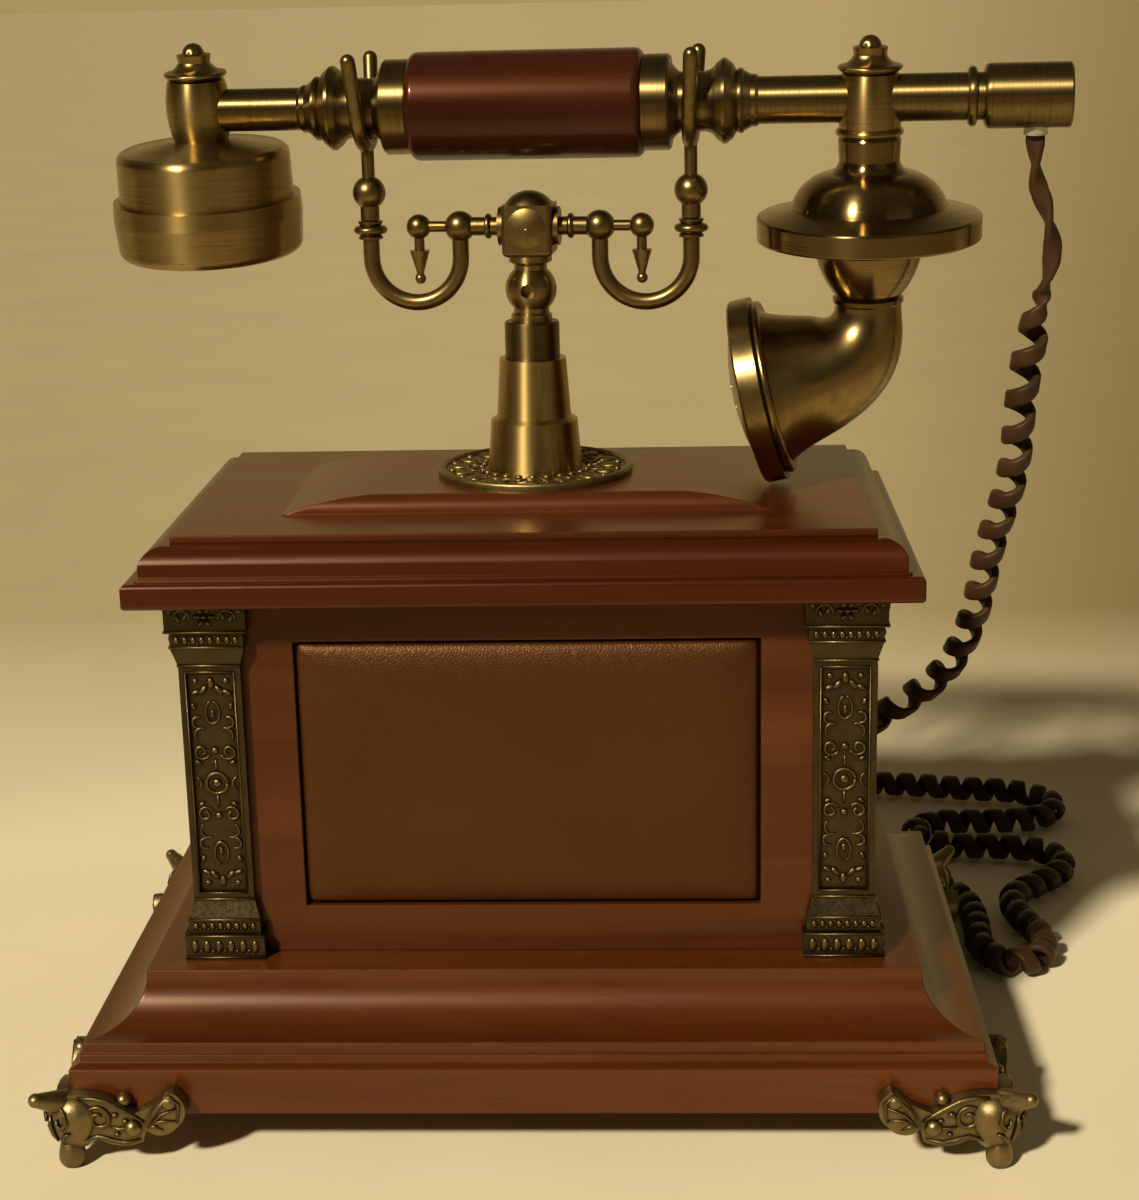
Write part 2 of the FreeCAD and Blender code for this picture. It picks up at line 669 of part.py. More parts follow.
def line_jack():
    body = jack_box(JACK_W / 2, JACK_H / 2, CASE_HALF_D - JACK_DEEP, CASE_HALF_D + JACK_FLANGE)
    flange = jack_box(JACK_W / 2 + 2.5, JACK_H / 2 + 2.5, CASE_HALF_D, CASE_HALF_D + JACK_FLANGE)
    mouth = CASE_HALF_D + JACK_FLANGE
    socket = jack_box(SOCKET_W / 2, SOCKET_H / 2, mouth - SOCKET_DEEP, mouth + 1)
    latch = jack_box(SOCKET_W / 5, SOCKET_H / 2 + 1.6, mouth - SOCKET_DEEP / 2, mouth + 1)
    return fused([body, flange]).cut(socket).cut(latch)


GROMMET_FACE = CASE_HALF_D + 3.0


def handset_grommet():
    profile = [(0, -WALL), (GROMMET_R, -WALL), (GROMMET_R, 0), (GROMMET_R + 2.5, 0), (GROMMET_R + 2.5, 1.2),
               (GROMMET_R - 0.6, 3.0), (0, 3.0)]
    piece = turned(profile)
    piece.rotate(ORIGIN, X_AXIS, -90)
    return moved(piece, Vec(GROMMET_X, CASE_HALF_D, JACK_Z))


# Cradle, built square to the axes and then turned with the handset about the post

def cradle_stem():
    low = math.sqrt(STEM_BALL_R ** 2 - (STEM_NECK_R + 0.4) ** 2)
    high = math.sqrt(STEM_BALL_R ** 2 - STEM_NECK_R ** 2)
    foot_r = STEM_NECK_R + 0.4
    profile = [(0, 0), (foot_r + 0.8, 0), (foot_r + 0.8, 2.0), (foot_r, 2.6), (foot_r, STEM_BALL_Z - low),
               (STEM_NECK_R, STEM_BALL_Z + high, STEM_BALL_R, STEM_BALL_Z), (STEM_NECK_R, STEM_H - 2.6),
               (STEM_COLLAR_R, STEM_H - 1.7), (STEM_COLLAR_R, STEM_H), (0, STEM_H)]
    hole = rod(STEM_HOLE_R, Vec(0, -STEM_BALL_R - 1, STEM_BALL_Z), Vec(0, -STEM_BALL_R + 3.5, STEM_BALL_Z))
    return moved(turned(profile).cut(hole), Vec(0, 0, SLEEVE_TOP))


def cap(radius, height):
    """Spherical cap on the plane z = 0, with a skirt under it to sink into what carries it."""
    ball_r = (radius ** 2 + height ** 2) / (2 * height)
    half_turn = math.atan2(radius, ball_r - height) / 2
    via = (ball_r * math.sin(half_turn), ball_r * math.cos(half_turn) - (ball_r - height))
    return turned([(0, -1), (radius, -1), (radius, 0), (0, height) + via])


def crown():
    """Block with rounded edges, a domed top and a domed boss on its front and back."""
    half = CROWN_W / 2
    block = box(-half, half, -half, half, 0, CROWN_SHOULDER)
    rounded = [edge for edge in block.Edges if edge.BoundBox.ZMin < CROWN_SHOULDER - CROWN_EDGE_R]
    block = block.makeFillet(CROWN_EDGE_R, rounded)
    dome = moved(cap(half - 0.3, CROWN_DOME), Vec(0, 0, CROWN_SHOULDER))
    bosses = []
    for side in (-1, 1):
        boss = cap(CROWN_BOSS_R, CROWN_BOSS_OUT)
        boss.rotate(ORIGIN, X_AXIS, -90 * side)
        bosses.append(moved(boss, Vec(0, side * half, CROWN_MID)))
    return moved(fused([block, dome] + bosses), Vec(0, 0, CROWN_BASE))


def right_arm():
    half = CROWN_W / 2
    stub = 2.7
    ball_in = ARM_BALL_X - math.sqrt(ARM_BALL_R ** 2 - stub ** 2)
    ball_out = ARM_BALL_X + math.sqrt(ARM_BALL_R ** 2 - LINK_R ** 2)
    drop_in = DROP_X - math.sqrt(DROP_BALL_R ** 2 - LINK_R ** 2)
    bead = (half + ball_in) / 2
    profile = [(0, half), (WASHER_R, half), (WASHER_R, half + 1.5), (stub, half + 1.5), (stub, bead - 0.9),
               (stub, bead + 0.9, 3.7, bead), (stub, ball_in), (LINK_R, ball_out, ARM_BALL_R, ARM_BALL_X),
               (LINK_R, drop_in), (0, DROP_X + DROP_BALL_R, DROP_BALL_R, DROP_X)]
    arm = turned_along_x(profile)
    stem = 1.5
    tip_r = 1.65
    tip_z = -15.2
    tip_top = tip_z + math.sqrt(tip_r ** 2 - 1.1 ** 2)
    drop = turned([(0, 0), (stem, 0), (stem, -7.0), (2.95, -7.0), (1.1, -13.4), (1.1, tip_top),
                   (0, tip_z - tip_r, tip_r, tip_z)])
    drop.translate(Vec(DROP_X, 0, 0))
    return moved(fused([arm, drop]), Vec(0, 0, ARM_Z))


HOOK_TOP = 2.2        # top of the ringed end of a U rod, over the arm axis


def right_hook():
    bend = (HOOK_X - ARM_BALL_X) / 2
    start = Vec(ARM_BALL_X, 0, 0)
    inner = Vec(ARM_BALL_X, 0, -HOOK_DROP)
    outer = Vec(HOOK_X, 0, -HOOK_DROP)
    lowest = Vec(ARM_BALL_X + bend, 0, -HOOK_DROP - bend)
    path = Part.Wire([Part.LineSegment(start, inner).toShape(), Part.Arc(inner, lowest, outer).toShape(),
                      Part.LineSegment(outer, Vec(HOOK_X, 0, -1)).toShape()])
    section = Part.Wire(Part.makeCircle(HOOK_R, start, Z_AXIS))
    bar = path.makePipeShell([section], True, False)
    thin = RING_R * 0.73
    rings = turned([(0, -3.4), (thin, -3.4), (thin, -2.8), (HOOK_R + 0.6, -2.2), (RING_R - 0.8, -1.9),
                    (RING_R - 0.8, 0.3, RING_R, -0.8), (HOOK_R + 0.6, 0.6), (thin, 1.2), (thin, 1.8),
                    (0, HOOK_TOP)])
    rings.translate(Vec(HOOK_X, 0, 0))
    hook = moved(fused([bar, rings]), Vec(0, 0, ARM_Z))
    return hook.cut(Part.makeSphere(ARM_BALL_R, Vec(ARM_BALL_X, 0, ARM_Z)))


def fork(side):
    """Ball and stem carrying two prongs that leave a round seat under the handset's neck; side is 1 or -1."""
    rise = HANDSET_RISE - side * HOOK_X * math.tan(math.radians(HANDSET_PITCH))
    seat = NECK_R + SEAT_GAP + PRONG_R
    lean = math.radians(PRONG_LEAN)
    turn_y = seat * math.cos(lean)
    turn_z = rise - seat * math.sin(lean)
    climb = (rise + PRONG_TOP - PRONG_R - turn_z) / math.cos(lean)
    share = PRONG_R * math.sin(math.radians(45))
    prongs = []
    for hand in (-1, 1):
        prong = turned([(0, 0), (PRONG_R, 0), (PRONG_R, climb), (0, climb + PRONG_R, share, climb + share)])
        prong.rotate(ORIGIN, X_AXIS, -hand * PRONG_LEAN)
        prongs.append(moved(prong, Vec(0, hand * turn_y, turn_z)))
    ring = Part.makeCircle(PRONG_R, Vec(0, turn_y, turn_z), Vec(0, math.sin(lean), math.cos(lean)))
    bend = Part.Face(Part.Wire(ring)).revolve(Vec(0, 0, rise), X_AXIS, 2 * PRONG_LEAN - 180)
    neck = HOOK_R + 0.35
    stem_r = PRONG_R - 0.25
    ball_low = FORK_BALL_Z - math.sqrt(FORK_BALL_R ** 2 - neck ** 2)
    ball_high = FORK_BALL_Z + math.sqrt(FORK_BALL_R ** 2 - stem_r ** 2)
    stem = turned([(0, HOOK_TOP), (neck, HOOK_TOP), (neck, ball_low),
                   (stem_r, ball_high, FORK_BALL_R, FORK_BALL_Z), (stem_r, rise - seat), (0, rise - seat)])
    for piece in [bend] + prongs:
        piece.rotate(Vec(0, 0, rise - seat), Y_AXIS, side * FORK_LEAN)
    return moved(fused([bend, stem] + prongs), Vec(side * HOOK_X, 0, ARM_Z))


# Handset, built along X about its own axis

def grip():
    share = GRIP_ROUND * (1 - math.sin(math.radians(45)))
    flat = GRIP_HALF - GRIP_ROUND
    bore = TUBE_R + FIT
    profile = [(bore, -GRIP_HALF), (GRIP_R - GRIP_ROUND, -GRIP_HALF),
               (GRIP_R, -flat, GRIP_R - share, -GRIP_HALF + share), (GRIP_R, flat),
               (GRIP_R - GRIP_ROUND, GRIP_HALF, GRIP_R - share, GRIP_HALF - share), (bore, GRIP_HALF)]
    return turned_along_x(profile)


TUBE_HALF = COLLAR_X + 10.0


def grip_tube():
    return turned_along_x([(TUBE_BORE_R, -TUBE_HALF), (TUBE_R, -TUBE_HALF), (TUBE_R, TUBE_HALF),
                           (TUBE_BORE_R, TUBE_HALF)])


def grip_ferrules():
    bore = TUBE_R + FIT
    profile = [(bore, GRIP_HALF), (FERRULE_R, GRIP_HALF), (FERRULE_R, COLLAR_X - 0.6),
               (FERRULE_R - 0.6, COLLAR_X), (bore, COLLAR_X)]
    right = turned_along_x(profile)
    return Part.makeCompound([right, flipped(right, X_AXIS)])


def collar(arm_r):
    """Turned neck and double-cone ring at the right of the grip, ending in a bead against the arm."""
    neck_start = COLLAR_X + 2.6
    neck_end = neck_start + NECK_W
    ring = neck_end + 5.4
    profile = [(TUBE_R + FIT, COLLAR_X), (FERRULE_R - 2.2, COLLAR_X),
               (NECK_R, neck_start, NECK_R + 0.9, COLLAR_X + 1.6), (NECK_R, neck_end),
               (RING_BIG_R - 1.4, ring - 2.2, NECK_R + 0.7, ring - 3.6), (RING_BIG_R, ring - 0.4),
               (RING_BIG_R, ring + 0.4), (RING_BIG_R - 1.6, ring + 2.4), (NECK_R, ring + 3.6),
               (NECK_R, ring + 5.6, NECK_R + 0.7, ring + 4.6), (arm_r + 0.7, ring + 7.6),
               (arm_r + 0.7, COLLAR_END - 1.0), (arm_r, COLLAR_END),
               (SPIGOT_R + FIT, COLLAR_END), (SPIGOT_R + FIT, TUBE_HALF + FIT), (TUBE_R + FIT, TUBE_HALF + FIT)]
    return turned_along_x(profile)


def arm_bar(radius, end, ring=False):
    """Arm from the collar outwards, with its spigot in the collar and perhaps a ring before the end cap."""
    profile = [(0, COLLAR_END - SPIGOT_L), (SPIGOT_R, COLLAR_END - SPIGOT_L), (SPIGOT_R, COLLAR_END),
               (radius, COLLAR_END)]
    if ring:
        profile += [(radius, END_RING_X - 1.6), (radius, END_RING_X + 1.0, END_RING_R, END_RING_X - 0.3)]
    return turned_along_x(profile + [(radius, end), (0, end)])


def ear_arm():
    return flipped(arm_bar(EAR_ARM_R, EAR_HUB_X - EAR_HUB_R / 2), X_AXIS)


END_CAP_X = END_RING_X + 3.0


def mic_arm():
    return arm_bar(MIC_ARM_R, END_CAP_X + 6.0, True)


def end_cap():
    back = END_CAP_X + END_CAP_L
    bore = MIC_ARM_R + FIT
    profile = [(0, END_CAP_X + 6.0), (bore, END_CAP_X + 6.0), (bore, END_CAP_X), (END_CAP_R - 1.6, END_CAP_X),
               (END_CAP_R, END_CAP_X + 1.6, END_CAP_R - 0.5, END_CAP_X + 0.5), (END_CAP_R, back - 0.6),
               (END_CAP_R - 0.6, back), (0, back)]
    return turned_along_x(profile).cut(bushing(FIT))


def bushing(grow):
    return rod(BUSHING_R + grow, Vec(BUSHING_X, 0, -END_CAP_R + 4), Vec(BUSHING_X, 0, -END_CAP_R - BUSHING_OUT))


def hub_body(radius, bottom_r, bottom, top, bottom_bead):
    profile = [(0, -bottom), (bottom_r, -bottom)]
    if bottom_bead:
        profile += [(bottom_r, -bottom + 2.2, bottom_r + 1.0, -bottom + 1.1)]
    profile += [(radius - 1.0, top, radius, -1.0), (0, top)]
    return turned(profile)


def ear_hub():
    hub = moved(hub_body(EAR_HUB_R, EAR_HUB_R - 1.4, EAR_HUB_BOTTOM, EAR_HUB_TOP, False), Vec(-EAR_HUB_X, 0, 0))
    bore = rod(EAR_ARM_R + FIT, Vec(-EAR_HUB_X + EAR_HUB_R / 2 - FIT, 0, 0), Vec(0, 0, 0))
    return twisted(hub.cut(bore))


def mic_hub():
    hub = moved(hub_body(MIC_HUB_R, MIC_HUB_R - 0.4, MIC_HUB_BOTTOM, MIC_HUB_TOP, True), Vec(MIC_HUB_X, 0, 0))
    reach = Vec(2 * MIC_HUB_R, 0, 0)
    return hub.cut(rod(MIC_ARM_R + FIT, Vec(MIC_HUB_X, 0, 0) - reach, Vec(MIC_HUB_X, 0, 0) + reach))


def twisted(shape):
    """Turn a piece of the earpiece about the handset's axis."""
    copy = shape.copy()
    copy.rotate(ORIGIN, X_AXIS, EAR_TWIST)
    return copy


def hub_finials():
    knob = 4.7
    ball_r = 3.3
    ball_z = FINIAL_H - ball_r
    ball_side = math.sqrt(ball_r ** 2 - 0.5 ** 2)
    share = ball_r * math.sin(math.radians(45))
    profile = [(0, 0), (FINIAL_R - 1.6, 0), (FINIAL_R, 1.2), (FINIAL_R - 0.3, 2.4, FINIAL_R + 0.3, 1.9),
               (knob, 5.2, knob + 1.4, 3.4), (knob + 0.3, ball_z),
               (ball_side, ball_z + 0.5), (0, FINIAL_H, share, ball_z + share)]
    finial = turned(profile)
    return Part.makeCompound([twisted(moved(finial, Vec(-EAR_HUB_X, 0, EAR_HUB_TOP))),
                              moved(finial, Vec(MIC_HUB_X, 0, MIC_HUB_TOP))])


def earpiece_cup():
    inner = CUP_R - CUP_WALL
    skirt = CUP_R - 0.8
    low = RIM_TOP - 8.0
    profile = [(0, CUP_TOP), (EAR_HUB_R, CUP_TOP), (CUP_R - 3.0, CUP_TOP - 2.4),
               (CUP_R - 0.3, CUP_TOP - 5.0, CUP_R - 1.0, CUP_TOP - 3.2), (CUP_R, RIM_TOP), (skirt, RIM_TOP),
               (skirt, low), (inner - 1.0, low), (inner - 1.0, CUP_TOP - 6.0), (0, CUP_TOP - 3.0)]
    return twisted(moved(turned(profile), Vec(-EAR_HUB_X, 0, 0)))


def earpiece_rim():
    bore = CUP_R - 0.8 + FIT
    low = RIM_TOP - RIM_H
    plate = low + RIM_PLATE_T
    profile = [(0, low + 1.4), (RIM_R - 6.0, low), (RIM_R - 2.6, low),
               (RIM_R - 0.6, low + 3.0, RIM_R - 1.2, low + 1.0), (RIM_R, RIM_TOP - 5.0), (RIM_R - 0.3, RIM_TOP),
               (bore, RIM_TOP), (bore, plate), (0, plate)]
    rim = turned(profile)
    for count, ring_r in ((1, 0.0), (6, 6.5), (12, 13.0)):
        for i in range(count):
            angle = math.radians(360 * i / count)
            x, y = ring_r * math.cos(angle), ring_r * math.sin(angle)
            rim = rim.cut(rod(EAR_HOLE_R, Vec(x, y, low - 1), Vec(x, y, plate + 1)))
    return twisted(moved(rim, Vec(-EAR_HUB_X, 0, 0)))


def receiver_capsule():
    base = RIM_TOP - RIM_H + RIM_PLATE_T
    radius = CUP_R - CUP_WALL - 3.0
    profile = [(0, base), (radius, base), (radius, base + CAPSULE_H - 2), (radius * 0.6, base + CAPSULE_H),
               (0, base + CAPSULE_H)]
    return twisted(moved(turned(profile), Vec(-EAR_HUB_X, 0, 0)))


def mic_dome():
    top = -MIC_HUB_BOTTOM
    neck_z = top - 6.8
    shoulder = (DOME_R * 0.56, top - 10.6)
    foot = FLANGE_TOP + BRIM_RISE
    profile = [(0, foot), (DOME_R, foot), shoulder + (DOME_R * 0.85, top - 14.2),
               (MIC_HUB_R - 0.4, neck_z, MIC_HUB_R + 0.3, neck_z - 2.0), (MIC_HUB_R - 0.1, top - 1.0),
               (MIC_HUB_R - 0.6, top), (0, top)]
    return moved(turned(profile), Vec(MIC_HUB_X, 0, 0))


def mic_flange():
    """Wide flange with the cup that carries the horn."""
    edge = FLANGE_TOP - FLANGE_H
    cup_top = edge - FLANGE_SLOPE_H
    foot = FLANGE_TOP + BRIM_RISE
    nip = FLANGE_ROUND * (1 - math.cos(math.radians(45)))
    profile = [(0, HORN_TOP), (HORN_RING_R - 0.6, HORN_TOP), (HORN_RING_R, HORN_TOP + 0.6),
               (HORN_RING_R, HORN_TOP + 1.8), (HORN_RING_R - 0.8, HORN_TOP + 2.4),
               (HORN_CUP_R, cup_top, HORN_CUP_R - 1.9, cup_top - HORN_CUP_H * 0.42),
               (HORN_CUP_R + 5.0, cup_top + 0.6), (FLANGE_R - FLANGE_ROUND, edge),
               (FLANGE_R, edge + FLANGE_ROUND, FLANGE_R - nip, edge + nip), (FLANGE_R, FLANGE_TOP - FLANGE_ROUND),
               (FLANGE_R - FLANGE_ROUND, FLANGE_TOP, FLANGE_R - nip, FLANGE_TOP - nip), (DOME_R + 0.6, foot),
               (0, foot)]
    return moved(turned(profile), Vec(MIC_HUB_X, 0, 0))


# Horn: round sections from the cup's ring round the bend to the mouth, as (x, z, radius, direction of the axis)

HORN_TILT = 13.0      # mouth axis under level
HORN_SECTIONS = [
    (0.0, 0.0, 9.6, 90.0), (-0.6, -6.7, 11.0, 78.0), (-3.6, -13.6, 13.8, 51.5),
    (-9.2, -18.8, 16.3, 28.0), (-16.5, -22.0, 18.6, 17.2), (-26.5, -25.1, 22.8, HORN_TILT),
]


def horn_loft(shrink):
    rings = []
    for x, z, radius, down in HORN_SECTIONS:
        angle = math.radians(down)
        axis = Vec(-math.cos(angle), 0, -math.sin(angle))
        rings.append(Part.Wire(Part.makeCircle(radius - shrink, Vec(MIC_HUB_X + x, 0, HORN_TOP + z), axis)))
    return Part.makeLoft(rings, True)


def horn_elbow():
    return horn_loft(0).cut(horn_loft(HORN_WALL))


def at_mouth(shape):
    """Place a piece turned about Z so that Z points out of the mouth and height 0 is the horn's end."""
    x, z, radius, down = HORN_SECTIONS[-1]
    placed = shape.copy()
    placed.rotate(ORIGIN, Y_AXIS, -90 - down)
    placed.translate(Vec(MIC_HUB_X + x, 0, HORN_TOP + z))
    return placed


GRILLE_SEAT = 3.0


def horn_rim():
    horn_r = HORN_SECTIONS[-1][2]
    lip = horn_r - HORN_WALL - 2.0
    bore = GRILLE_R + FIT
    back_r = horn_r + 2.6
    profile = [(lip, 0), (back_r, 0), (back_r, 2.3, back_r + 0.6, 1.2), (HORN_RIM_R, 2.6),
               (HORN_RIM_R, HORN_RIM_W - 0.6), (HORN_RIM_R - 0.6, HORN_RIM_W), (bore, HORN_RIM_W),
               (bore, GRILLE_SEAT), (lip, GRILLE_SEAT)]
    return at_mouth(turned(profile))


def mouth_grille():
    edge = HORN_RIM_W - 1.0
    top = edge + GRILLE_DOME
    profile = [(0, GRILLE_SEAT), (GRILLE_R, GRILLE_SEAT), (GRILLE_R, edge),
               (0, top, GRILLE_R * 0.53, edge + GRILLE_DOME * 0.73)]
    grille = turned(profile)
    for count, ring_r in ((1, 0.0), (6, 6.0), (12, 12.0)):
        for i in range(count):
            angle = math.radians(360 * i / count)
            x, y = ring_r * math.cos(angle), ring_r * math.sin(angle)
            grille = grille.cut(rod(EAR_HOLE_R, Vec(x, y, edge - 1), Vec(x, y, top + 1)))
    return at_mouth(grille)


def transmitter_capsule():
    radius = HORN_SECTIONS[-1][2] - HORN_WALL - 4.0
    return at_mouth(rod(radius, Vec(0, 0, GRILLE_SEAT - CAPSULE_H * 0.8), Vec(0, 0, GRILLE_SEAT)))


def turn_cradle(shape):
    turned_shape = shape.copy()
    turned_shape.rotate(ORIGIN, Z_AXIS, CRADLE_YAW)
    return at_post(turned_shape)


def place_handset(shape):
    """Lay the handset in its forks as it rests, raise it to the cradle and turn it with the cradle."""
    placed = shape.copy()
    placed.rotate(ORIGIN, X_AXIS, HANDSET_ROLL)
    placed.translate(Vec(HANDSET_SHIFT, 0, 0))
    placed.rotate(ORIGIN, Y_AXIS, HANDSET_PITCH)
    placed.translate(Vec(0, 0, HANDSET_Z))
    return turn_cradle(placed)


# Curly cord: a smooth guide through hand-chosen points, with a helix wound round it

JOIN = Vec(59.0, 60.5, PLINTH_TOP + CURL_R + CORD_W)
DROP_POINTS = [
    Vec(149.5, -11.0, 262.0), Vec(152.8, -10.0, 249.0), Vec(148.5, -7.0, 233.0), Vec(145.2, -2.0, 205.0),
    Vec(146.0, 8.0, 180.6), Vec(140.6, 22.0, 154.4), Vec(139.3, 35.0, 129.0), Vec(133.1, 48.0, 106.6),
    Vec(120.2, 62.0, 90.4), Vec(106.0, 70.0, 79.0), Vec(92.0, 67.5, 66.5), Vec(76.0, 60.5, JOIN.z),
]
FLOOR = CURL_R + CORD_W
SLACK_POINTS = [
    Vec(48.0, 60.5, JOIN.z), Vec(40.0, 70.0, 56.0), Vec(37.0, 84.0, 47.0), Vec(36.0, 97.0, 30.0),
    Vec(38.0, 105.0, 13.0), Vec(47.0, 113.0, FLOOR), Vec(66.0, 119.0, FLOOR), Vec(92.0, 121.0, FLOOR),
    Vec(118.0, 119.0, FLOOR), Vec(137.0, 108.0, FLOOR), Vec(147.0, 92.0, FLOOR), Vec(147.5, 70.0, FLOOR),
    Vec(145.5, 50.0, FLOOR), Vec(152.5, 37.0, FLOOR), Vec(166.0, 42.0, FLOOR), Vec(169.0, 60.0, FLOOR),
    Vec(162.5, 78.0, FLOOR), Vec(162.5, 96.0, FLOOR), Vec(176.0, 108.0, FLOOR), Vec(188.0, 122.0, FLOOR),
    Vec(184.0, 139.0, FLOOR), Vec(166.0, 144.0, FLOOR), Vec(146.0, 144.0, FLOOR), Vec(132.0, 156.0, FLOOR),
    Vec(142.0, 170.0, FLOOR), Vec(164.0, 170.0, FLOOR), Vec(186.0, 172.0, FLOOR), Vec(196.0, 188.0, FLOOR),
    Vec(184.0, 204.0, FLOOR), Vec(160.0, 207.0, FLOOR), Vec(138.0, 213.0, FLOOR), Vec(112.0, 215.0, FLOOR),
    Vec(82.0, 206.0, FLOOR), Vec(52.0, 184.0, FLOOR), Vec(30.0, 154.0, FLOOR), Vec(19.0, 124.0, 20.0),
    Vec(15.0, 98.0, 52.0), Vec(15.0, 76.0, JACK_Z),
]
DROP_PITCH = 10.0
SLACK_PITCH = 13.0
LEAD_IN = 46.0         # straight ribbon under the handset, before the curls
JOIN_LEAD = 6.0
LEAD_OUT = 70.0
GUIDE_STEP = 0.5


def guide(points):
    """Places, directions and normals along the smooth curve that the points pull towards themselves."""
    places = []
    for i in range(1, len(points) - 1):
        first = points[0] if i == 1 else (points[i - 1] + points[i]) * 0.5
        last = points[-1] if i == len(points) - 2 else (points[i] + points[i + 1]) * 0.5
        count = max(4, int((last - first).Length / GUIDE_STEP))
        for k in range(count):
            t = k / count
            places.append(first * (1 - t) ** 2 + points[i] * (2 * t * (1 - t)) + last * t ** 2)
    places.append(points[-1])
    along = [0.0]
    for here, after in zip(places, places[1:]):
        along.append(along[-1] + here.distanceToPoint(after))
    directions = [unit(places[min(i + 1, len(places) - 1)] - places[max(i - 1, 0)]) for i in range(len(places))]
    normal = unit(directions[0].cross(X_AXIS) if abs(directions[0].x) < 0.9 else directions[0].cross(Y_AXIS))
    normals = []
    for direction in directions:
        normal = unit(normal - direction * normal.dot(direction))
        normals.append(normal)
    return places, along, directions, normals


def unit(vector):
    return vector * (1 / vector.Length)


def biarc(start, start_dir, end, end_dir):
    """Two arcs that leave start along start_dir and reach end along end_dir."""
    chord = end - start
    both = start_dir + end_dir
    spread = 2 * (1 - start_dir.dot(end_dir))
    if spread < 1e-9:
        reach = chord.dot(chord) / (4 * chord.dot(end_dir))
    else:
        reach = (-chord.dot(both) + math.sqrt(chord.dot(both) ** 2 + spread * chord.dot(chord))) / spread
    first_corner = start + start_dir * reach
    last_corner = end - end_dir * reach
    middle = (first_corner + last_corner) * 0.5
    return [corner_arc(start, first_corner, middle), corner_arc(middle, last_corner, end)]


def corner_arc(start, corner, end):
    half = (start + end) * 0.5
    rise = corner - half
    if rise.Length < 1e-4:
        return Part.LineSegment(start, end).toShape()
    chord = start.distanceToPoint(end) / 2
    bulge = chord * math.tan(math.atan2(rise.Length, chord) / 2)
    return Part.Arc(start, half + unit(rise) * bulge, end).toShape()


def curly_cord(points, lead_in, lead_out, pitch):
    """Square-sided wire along the guide, straight for the leads and curled between them."""
    places, along, directions, normals = guide(points)
    total = along[-1]
    turns = round((total - lead_in - lead_out) / pitch)
    step = (total - lead_in - lead_out) / turns

    def centre(s):
        s = min(max(s, 0.0), total)
        i = max(k for k in (0, bisect(along, s)) if along[k] <= s)
        i = min(i, len(places) - 2)
        share = (s - along[i]) / (along[i + 1] - along[i])
        place = places[i] * (1 - share) + places[i + 1] * share
        direction = unit(directions[i] * (1 - share) + directions[i + 1] * share)
        normal = unit(normals[i] * (1 - share) + normals[i + 1] * share)
        inside = min(s - lead_in, total - lead_out - s)
        radius = CURL_R * smooth(inside / (1.5 * step))
        angle = 2 * math.pi * (s - lead_in) / step
        return place + (normal * math.cos(angle) + direction.cross(normal) * math.sin(angle)) * radius

    def heading(s):
        return unit(centre(s + 0.05) - centre(s - 0.05))

    stops = lead_stops(0, lead_in) + [lead_in + step * k / 2 for k in range(2 * turns)]
    stops += lead_stops(total - lead_out, total) + [total]
    edges = []
    for here, after in zip(stops, stops[1:]):
        start_dir = directions[0] if here == 0 else heading(here)
        end_dir = directions[-1] if after == total else heading(after)
        edges += biarc(centre(here), start_dir, centre(after), end_dir)
    half = CORD_W / 2
    across = normals[0] * half
    up = directions[0].cross(normals[0]) * half
    square = [across + up, up - across, across * -1 - up, across - up, across + up]
    section = Part.makePolygon([places[0] + corner for corner in square])
    wire = Part.Wire(edges).makePipeShell([section], True, False)
    samples = [centre(total * k / 4000) for k in range(4001)]
    report_cord(wire, samples, turns, edges)
    return wire


def bisect(values, wanted):
    """Index of the last value that isn't over the wanted one."""
    low, high = 0, len(values) - 1
    while high - low > 1:
        middle = (low + high) // 2
        if values[middle] <= wanted:
            low = middle
        else:
            high = middle
    return low


def smooth(share):
    share = min(max(share, 0.0), 1.0)
    return share * share * (3 - 2 * share)


def lead_stops(start, end):
    """Stops along a straight lead, the outermost one wire's width from its end."""
    count = max(1, round((end - start) / 12))
    return [start + (end - start) * k / count for k in range(count)]


def report_cord(wire, samples, turns, edges):
    length = sum(edge.Length for edge in edges)
    apart = int(len(samples) * 3 * CORD_W / length)
    least = min(samples[i].distanceToPoint(samples[k])
                for i in range(0, len(samples), 4) for k in range(i + 2 * apart, len(samples), 4))
    radii = [edge.Curve.Radius for edge in edges if hasattr(edge.Curve, "Radius")]
    print("cord: turns", turns, "length", round(length), "least gap", round(least - CORD_W * math.sqrt(2), 2),
          "least radius", round(min(radii), 2), "volume share", round(wire.Volume / (length * CORD_W ** 2), 3))


def handset_cord_drop():
    exit_face = place_handset(Part.Vertex(Vec(BUSHING_X, 0, -END_CAP_R - BUSHING_OUT))).Point
    below = place_handset(Part.Vertex(Vec(BUSHING_X, 0, -END_CAP_R - BUSHING_OUT - 12))).Point
    return curly_cord([exit_face, below] + DROP_POINTS + [JOIN], LEAD_IN, JOIN_LEAD, DROP_PITCH)


def handset_cord_slack():
    grommet = Vec(GROMMET_X, GROMMET_FACE, JACK_Z)
    return curly_cord([JOIN] + SLACK_POINTS + [grommet], JOIN_LEAD, LEAD_OUT, SLACK_PITCH)


